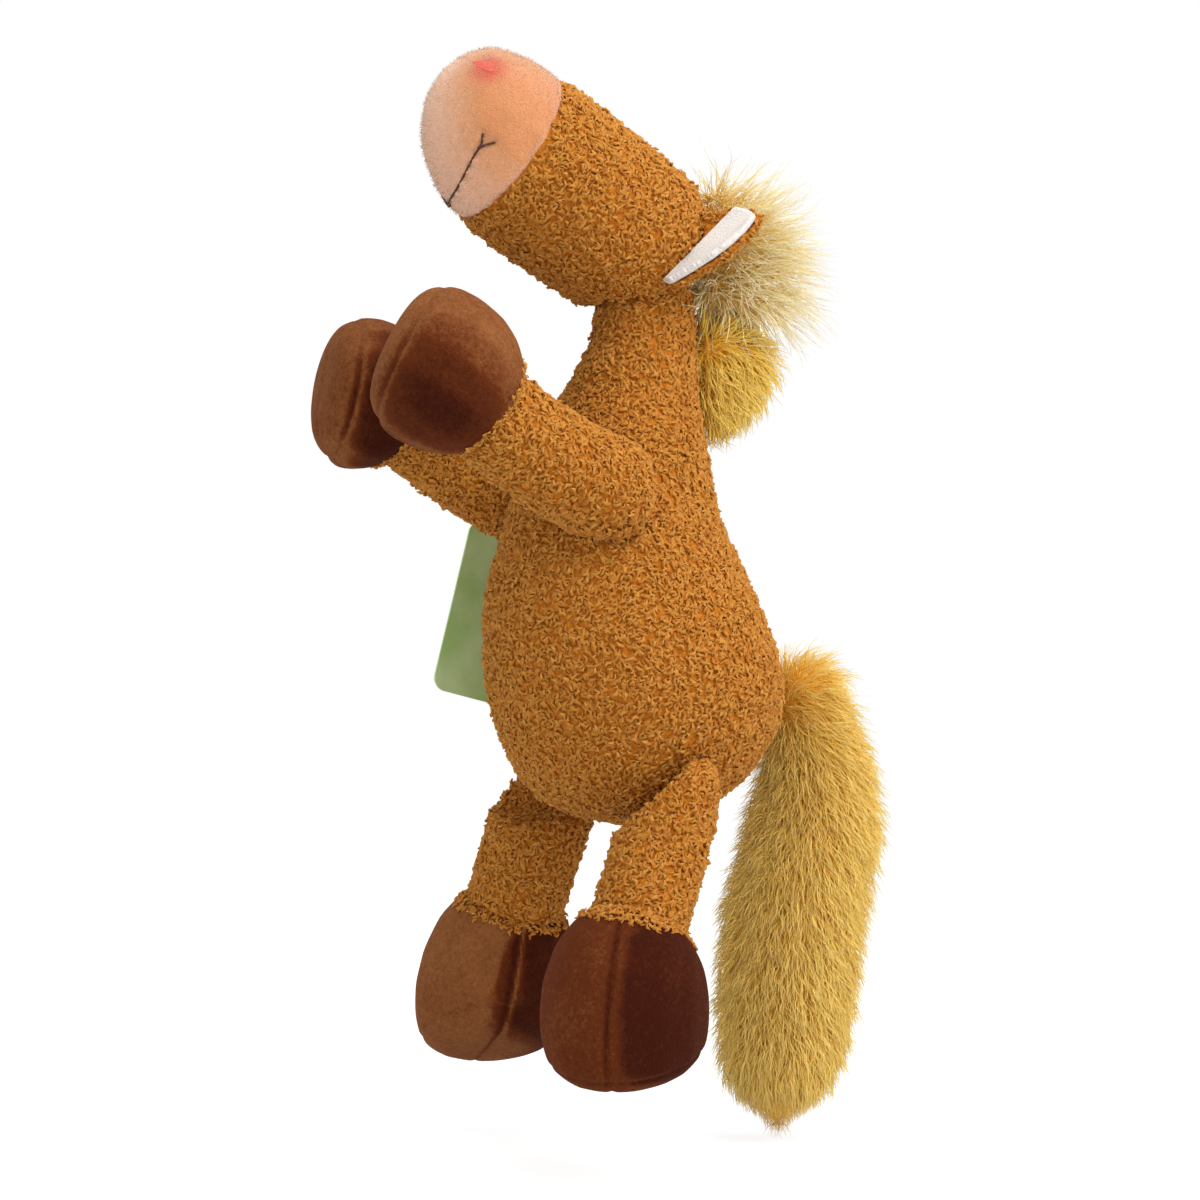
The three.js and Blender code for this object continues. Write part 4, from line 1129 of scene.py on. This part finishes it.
# Painted light: the muzzle's edges that face away from this direction are painted paler, and the rest stays at the
# middle peach.
MUZZLE_PAINTED_LIGHT = Nap(dark=(0.35, 0.35, 0.85), near=30, far=85, light=1.0, deepest=0.46)
# Painted shade and light: each hoof is painted dark round one direction and lighter away from it.
HOOF_PAINTED_LIGHT = {
    "left_front_hoof": Nap(dark=(0.05, -0.5, 0.85), near=0, far=74, light=0.8),
    "right_front_hoof": Nap(dark=(0.75, -0.3, 0.6), near=40, far=78, light=0.74),
    "left_rear_hoof": Nap(dark=(0.75, 0.1, 0.65), near=46, far=66, light=0.46),
    "right_rear_hoof": Nap(dark=(0.9, -0.1, 0.3), near=50, far=76, light=0.82),
}


@dataclass
class Head:
    """The fleece tube of the head with its velour muzzle, eyes, nostrils and mouth.

    Lengths are in millimetres. The mouth and the left nostril lie at pixels of the photograph.
    """

    pitch: float = 32.0
    blush: float = 0.85
    blush_reach: float = 4.5
    stitch_length: float = 1.7
    mouth_radius: float = 0.36
    mouth_pixels: Sequence[Pixel] = (
        (449, 201), (452, 197), (457, 189), (463, 178), (469, 166), (475, 155), (480, 147)
    )
    fork_pixels: Sequence[Sequence[Pixel]] = (((486, 145), (493, 143)), ((482, 141), (483, 136)))
    mouth_sag: float = 6.0
    bridge_steps: int = 6
    pucker: Crease = Crease(depth=0.8, width=1.6)
    nostril_radius: float = 0.24
    nostril_pixels: tuple[float, float, float, float] = (476, 491, 62, 70)
    nostril_slope: float = 0.2
    nostril_stitches: int = 7

    def build(self) -> None:
        """Builds every piece of the head."""
        turn = math.radians(self.pitch)
        muzzle_way = Vector((0, -math.cos(turn), math.sin(turn)))
        forward = np.array(muzzle_way)
        seam = np.array(muzzle_way * float((node_places("muzzle_skin") @ forward).min()))
        nodes = ["head_skin", "head_stuffing"]
        form = backed_form("ochre_backing", "head_fleece", nodes, voxel=2.0, cap=1.2)
        full_coat(form, keep=((places_of(form) - seam) @ forward < -0.6 * MM).astype(float))
        FLEECE_COAT.grow("head_curls", form, 21, "head")
        hand_over(form, "head", nodes)
        muzzle = self.muzzle(seam, forward)
        self.nostrils(surface_of(muzzle))
        self.mouth(muzzle)
        self.eyes()

    def muzzle(self, seam: np.ndarray, forward: np.ndarray) -> Piece:
        """Builds the velour dome in front of the seam.

        Args:
            seam: A point on the seam's plane.
            forward: The direction in which the muzzle points.

        Returns:
            The dome.
        """
        form = StuffedForm("muzzle_velour", ["muzzle_skin", "head_stuffing"], voxel=1.8, cap=1.0).build()
        keep_side(form, seam, forward)
        # Painted light: points that face away from the dark direction are painted paler, and the nostrils' own pink
        # blush is taken off that level.
        pale = MUZZLE_PAINTED_LIGHT.levels(normals_of(form))
        put_attribute(form, "nap", pale - self.pinkness(places_of(form)))
        full_coat(form, keep=((places_of(form) - seam) @ forward > 0.3 * MM) * 1.0)
        FUZZ_COAT.grow("muzzle_fuzz", form, 23, "head")
        dress(form, finish("peach_velour"))
        hand_over(form, "head", ["muzzle_skin"])
        return form

    def pinkness(self, places: np.ndarray) -> np.ndarray:
        """How pink each point of the muzzle is, most of all round the nostrils."""
        level = np.zeros(len(places))
        for side in Side:
            low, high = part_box(f"{side.word}_nostril_stitching")
            off = np.linalg.norm(places - np.array((low + high) / 2), axis=1) / (self.blush_reach * MM)
            level += self.blush * np.exp(-(off**2))
        return level

    def mouth(self, muzzle: Piece) -> None:
        """Sews the mouth line into the velour, which it pulls in."""
        sewn = [place for run in self.mouth_runs(surface_of(muzzle)) for place in run]
        self.pucker.press(muzzle, nearest_distance(places_of(muzzle), np.array(sewn)))
        runs = self.mouth_runs(surface_of(muzzle))
        sew("mouth_thread", runs, self.stitch_length, self.mouth_radius, "brown_thread", "mouth_stitching")

    def mouth_runs(self, tree: BVHTree) -> list[list[Vector]]:
        """Finds the mouth line and its forks on the muzzle, and the same on the right.

        Args:
            tree: The muzzle's surface.

        Returns:
            Rows of places: the whole line, and each fork.
        """

        def raised(found: Sequence[tuple]) -> list[Vector]:
            """Places found on the surface, lifted by the thread's radius."""
            return [entry[0] + entry[1] * self.mouth_radius * MM for entry in found if entry[0] is not None]

        def sewn(pixels: Sequence[Pixel]) -> list[Vector]:
            """The thread's places behind some pixels of the photograph."""
            return raised([tree.ray_cast(*STUDIO.ray(*pixel)) for pixel in pixels])

        line = sewn(self.mouth_pixels)
        across = Vector((-1, 1, 1))
        far = [place * across for place in line[-2:]]
        drop = Vector((0, 0, -self.mouth_sag * MM))
        steps = self.bridge_steps
        bridge = [
            line[0].lerp(far[0], step / steps) + drop * math.sin(math.pi * step / steps) for step in range(1, steps)
        ]
        under = raised([tree.find_nearest(place) for place in bridge])
        runs = [[*reversed(far), *reversed(under), *line]]
        for fork in self.fork_pixels:
            branch = [line[-1], *sewn(fork)]
            runs += [branch, [place * across for place in branch]]
        return runs

    def eyes(self) -> None:
        """Builds the two glossy bead eyes."""
        for side in Side:
            node = f"{side.word}_eye"
            low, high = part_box(node)
            work = bmesh.new()
            radius = (high - low).length / 2 / math.sqrt(3)
            bmesh.ops.create_uvsphere(work, u_segments=24, v_segments=16, radius=radius)
            bmesh.ops.translate(work, verts=work.verts, vec=(low + high) / 2)
            bead = mesh_piece(f"{node}_bead", work)
            dress(bead, finish("eye_bead"))
            hand_over(bead, "head", [node])

    def nostrils(self, tree: BVHTree) -> None:
        """Sews each nostril on the muzzle's surface as a patch of short stitches side by side."""
        left, right, top, bottom = self.nostril_pixels
        runs = []
        for step in range(self.nostril_stitches):
            share = step / (self.nostril_stitches - 1)
            across = left + (right - left) * share
            tall = math.sqrt(max(1 - (2 * share - 1) ** 2, 0.15)) * (bottom - top) / 2
            middle = (top + bottom) / 2 + (across - (left + right) / 2) * self.nostril_slope
            ends = [tree.ray_cast(*STUDIO.ray(across + lean, middle + lean))[0] for lean in (-tall, 0, tall)]
            runs.append([place for place in ends if place is not None])
        for side in Side:
            placed = [[place * Vector((side.value, 1, 1)) for place in run] for run in runs]
            name, node = f"{side.word}_nostril_thread", f"{side.word}_nostril_stitching"
            sew(name, placed, self.stitch_length, self.nostril_radius, "pink_thread", node)


@dataclass
class Ear:
    """One ear: a leaf of fleece with a white lining, whose upper edge follows a line of the photograph.

    Lengths are in millimetres: how full the lining is, and how far from it the leaf's lined side stays bare.
    """

    side: Side
    fullness: float = 0.6
    bare_reach: float = 0.4
    curl_share: float = 0.75
    upper_edge: Sequence[Pixel] = ((676, 266), (730, 211))

    def build(self) -> None:
        """Builds the leaf, its curls and its lining."""
        body = f"{self.side.word}_ear"
        inside, outside = f"{body}_lining", f"{body}_shell"
        lining = StuffedForm(f"{body}_white", [inside], voxel=0.5, shrink=0, cap=0.2, softening=4).build()
        move_out(lining, self.fullness)
        self.slim(lining)
        shell = StuffedForm(f"{body}_fleece", [outside], voxel=0.9, shrink=0.3, cap=0.5, softening=4).build()
        dress(shell, finish("ochre_backing"))
        facing = normals_of(shell) @ self.lined_way(inside, outside)
        near = nearest_distance(places_of(shell), places_of(lining)) <= self.bare_reach * MM
        bare = (facing > 0.35) & near
        full_coat(shell, keep=1.0 - bare, pile=np.full(len(facing), self.curl_share))
        FLEECE_COAT.grow(f"{body}_curls", shell, 31, body)
        hand_over(shell, body, [outside])
        put_attribute(lining, "nap", np.full(len(lining.data.vertices), 0.6))
        dress(lining, finish("white_lining"))
        hand_over(lining, body, [inside])

    def slim(self, lining: Piece) -> None:
        """Trims the lining along the photograph's line for its upper edge, and the right one to match."""
        eye, first = STUDIO.ray(*self.upper_edge[0])
        second = STUDIO.ray(*self.upper_edge[1])[1]
        mirror = np.array((self.side.value, 1, 1))
        keep_side(lining, np.array(eye) * mirror, np.array(first.cross(second).normalized()) * mirror)

    def lined_way(self, inside: str, outside: str) -> np.ndarray:
        """The direction in which the lined side of the ear faces, by its two CAD nodes."""
        lining, shell = node_places(inside), node_places(outside)
        across = np.linalg.svd(lining - lining.mean(axis=0))[2][2]
        return across * np.sign(across @ (lining.mean(axis=0) - shell.mean(axis=0)))


@dataclass
class Limb:
    """An arm or a leg of fleece, with its velour hoof.

    Lengths are in millimetres: how far the curls hang over the hoof's edge, and how much more on its outer front.
    """

    side: Side
    kind: str
    hoof: str
    seed: int
    has_pellets: bool = False
    overhang: float = 2.5
    front_overhang: float = 0.0
    crease: Crease = Crease(depth=0.4, width=0.8)
    fill: float = 0.75

    def build(self) -> None:
        """Builds the stuffed limb, its curls and its hoof."""
        body = f"{self.side.word}_{self.kind}"
        nodes = [f"{body}_skin", f"{body}_stuffing"]
        hoof = f"{self.side.word}_{self.hoof}"
        panels = [f"{hoof}_{part}" for part in ("outer_panel", "inner_panel", "sole")]
        form = backed_form("ochre_backing", f"{body}_fleece", nodes, voxel=1.6, cap=1.0)
        full_coat(form, keep=self.outside_hoof(form, nodes[0], panels))
        FLEECE_COAT.grow(f"{body}_curls", form, self.seed, body)
        hand_over(form, body, nodes)
        self.build_hoof(body, hoof, panels)

    def outside_hoof(self, form: Piece, skin: str, panels: Sequence[str]) -> np.ndarray:
        """Marks the points of the limb that lie outside its hoof.

        Args:
            form: The stuffed limb.
            skin: The limb's skin node.
            panels: The hoof's nodes.

        Returns:
            One for each point outside, zero for each inside.
        """
        cuff = node_places(skin)
        middle = np.concatenate([node_places(panel) for panel in panels]).mean(axis=0)
        axis = unit((middle - cuff.mean(axis=0))[None])[0]
        edge = np.percentile(cuff @ axis, 99.5)
        return (places_of(form) @ axis < edge - 0.4 * MM).astype(float)

    def build_hoof(self, body: str, hoof: str, panels: Sequence[str]) -> None:
        """Stuffs the hoof as one form and cuts it into its two velour panels and its sole.

        Args:
            body: The limb's name.
            hoof: The hoof's name.
            panels: The hoof's nodes: outer panel, inner panel and sole.
        """
        outer, inner, sole = panels
        pellets = [f"{hoof}_pellet_bag"] if self.has_pellets else []
        filled = [*panels, f"{body}_stuffing", *pellets]
        form = StuffedForm(f"{hoof}_form", filled, voxel=1.8, cap=1.0).build()
        keep_side(form, *broadest_plane(f"{body}_skin"))
        seam, seam_way = seam_between(outer, inner)
        tread, tread_way = broadest_plane(sole)
        for place, way in ((seam, seam_way), (tread, tread_way)):
            self.crease.press(form, (places_of(form) - place) @ way)
        # Painted light and shade: each point of the hoof is painted lighter or darker by the way it faces.
        put_attribute(form, "nap", HOOF_PAINTED_LIGHT[hoof].levels(normals_of(form)))
        planes = {
            sole: [(tread, -tread_way)],
            outer: [(tread, tread_way), (seam, seam_way)],
            inner: [(tread, tread_way), (seam, -seam_way)],
        }
        pieces = {node: cut_copy(form, f"{node}_velour", cuts) for node, cuts in planes.items()}
        self.overlap_cuff(form, body)
        bpy.data.objects.remove(form)
        for node in panels:
            dress(pieces[node], finish("brown_velour"))
            replaced = [node, *pellets] if node == sole else [node]
            hand_over(pieces[node], body, replaced)

    def overlap_cuff(self, form: Piece, body: str) -> None:
        """Lets the limb's curls hang over the edge of the whole stuffed hoof, most of all on its outer front."""
        place, way = broadest_plane(f"{body}_skin")
        outward = unit(np.array([[0.8 * self.side.value, -0.6, 0.0]]))[0]
        reach = (self.overhang + self.front_overhang * capped(normals_of(form) @ outward)) * MM
        beyond = (places_of(form) - place) @ way
        full_coat(form, keep=((beyond > 0.2 * MM) & (beyond < reach)) * 1.0, pile=np.full(len(beyond), 0.85))
        FLEECE_COAT.grow(f"{body}_cuff_curls", form, self.seed + 4, body)


@dataclass
class Mane:
    """A tufted strip of long pile on the mid plane.

    Lengths are in millimetres: how far its core sinks below the solid, and how deep its ruffled top is.
    """

    node: str
    body: str
    coat: Coat
    comb: Point
    lift: float
    sink: float
    seed: int
    ruffle: float = 0.0
    trail: float = 0.0
    trail_reach: float = 12.0
    ruffle_gain: float = 0.3
    ruffle_comb: Point = (0, 0.25, 1.0)

    def build(self) -> None:
        """Builds the strip's core and its strands."""
        sizes = {"voxel": 1.8, "shrink": 0, "cap": 0.6, "softening": 8}
        core = backed_form("yellow_backing", f"{self.node}_core", [self.node], **sizes)
        move_out(core, -self.sink)
        heights = places_of(core)[:, 2]
        top = np.zeros((len(heights), 1))
        if self.ruffle:
            top = capped(1 - (heights.max() - heights) / (self.ruffle * MM))[:, None]
        foot = capped(1 - (heights - heights.min()) / (self.trail_reach * MM))
        full_coat(core, pile=1 + self.ruffle_gain * np.ravel(top) + self.trail * foot)
        ways = np.array(self.comb) * (1 - top) + np.array(self.ruffle_comb) * top
        put_attribute(core, "comb", unit(ways + self.lift * normals_of(core)))
        self.coat.grow(f"{self.node}_strands", core, self.seed, self.body)
        hand_over(core, self.body, [self.node])


@dataclass
class Tail:
    """The long pile brush of the tail, whose strands come in five lengths.

    Lengths are in millimetres: how far its core sinks below the solid, how far from the root the pile still
    points away from it, and how the pile shortens towards the tip.
    """

    sink: float = 5.0
    root_reach: float = 26.0
    tip_start: float = 2.0
    tip_reach: float = 20.0
    shortest: float = 0.45
    overlap: float = 3.0

    def build(self) -> None:
        """Builds the tail's stuffed core and its strands."""
        nodes = ["tail_skin", "tail_stuffing"]
        core = backed_form("yellow_backing", "tail_core", nodes, voxel=2.4, shrink=0, cap=0.8, softening=8)
        move_out(core, -self.sink)
        places = places_of(core)
        away = places - np.array(joint_place("tail_wag"))
        near = np.exp(-np.linalg.norm(away, axis=1, keepdims=True) / (self.root_reach * MM))
        put_attribute(core, "comb", unit(unit(away) * near + np.array([0, 0, -1.0]) * (1 - near)))
        heights = places[:, 2]
        pile = np.clip((heights - self.tip_start * MM) / (self.tip_reach * MM), self.shortest, 1)
        for index, (word, low, high) in enumerate(self.lengths()):
            share = capped((heights - low) / (self.overlap * MM) + 0.5)
            share *= capped((high - heights) / (self.overlap * MM) + 0.5)
            full_coat(core, keep=share, pile=pile)
            TAIL_COAT.grow(f"tail_{word}_strands", core, 51 + index, "tail")
        hand_over(core, "tail", nodes)

    def lengths(self) -> list[tuple[str, float, float]]:
        """The tail's lengths from the top down: a name, and the lowest and highest place of each."""
        low, high = (corner.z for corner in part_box("tail_skin"))
        words = ("hump", "upper", "middle", "lower", "tip")
        step = (high - low) / len(words)
        ends = [high - step * index for index in range(len(words) + 1)]
        ends[0] += step
        ends[-1] -= step
        return [(word, ends[index + 1], ends[index]) for index, word in enumerate(words)]


@dataclass
class Tag:
    """The bare card tag and its nylon fastener, which stay as the solids are."""

    finishes: Sequence[tuple[str, str]] = (("hang_tag", "green_card"), ("tag_fastener", "clear_nylon"))

    def build(self) -> None:
        """Dresses the card and the fastener."""
        for node, name in self.finishes:
            materials = frame["nodes"][node].data.materials
            materials.clear()
            materials.append(finish(name))


FRONT_OVERHANGS = {Side.LEFT: 8.0, Side.RIGHT: 2.0}


def main() -> None:
    """Builds the horse piece by piece."""
    logging.basicConfig(level=logging.INFO, format="%(message)s")
    STUDIO.build()
    Torso().build()
    Head().build()
    for side in Side:
        Ear(side).build()
        Limb(side, "arm", "front_hoof", 41).build()
        Limb(side, "leg", "rear_hoof", 43, has_pellets=True, front_overhang=FRONT_OVERHANGS[side]).build()
    Mane("head_mane", "head", WISP_COAT, (0, 0.5, -0.7), lift=0.5, sink=4.5, seed=61, trail=0.3).build()
    Mane("neck_mane", "torso", MANE_COAT, (0, 0.2, -0.6), lift=0.9, sink=3.0, seed=62, ruffle=7).build()
    Tail().build()
    Tag().build()


if __name__ == "__main__":
    main()
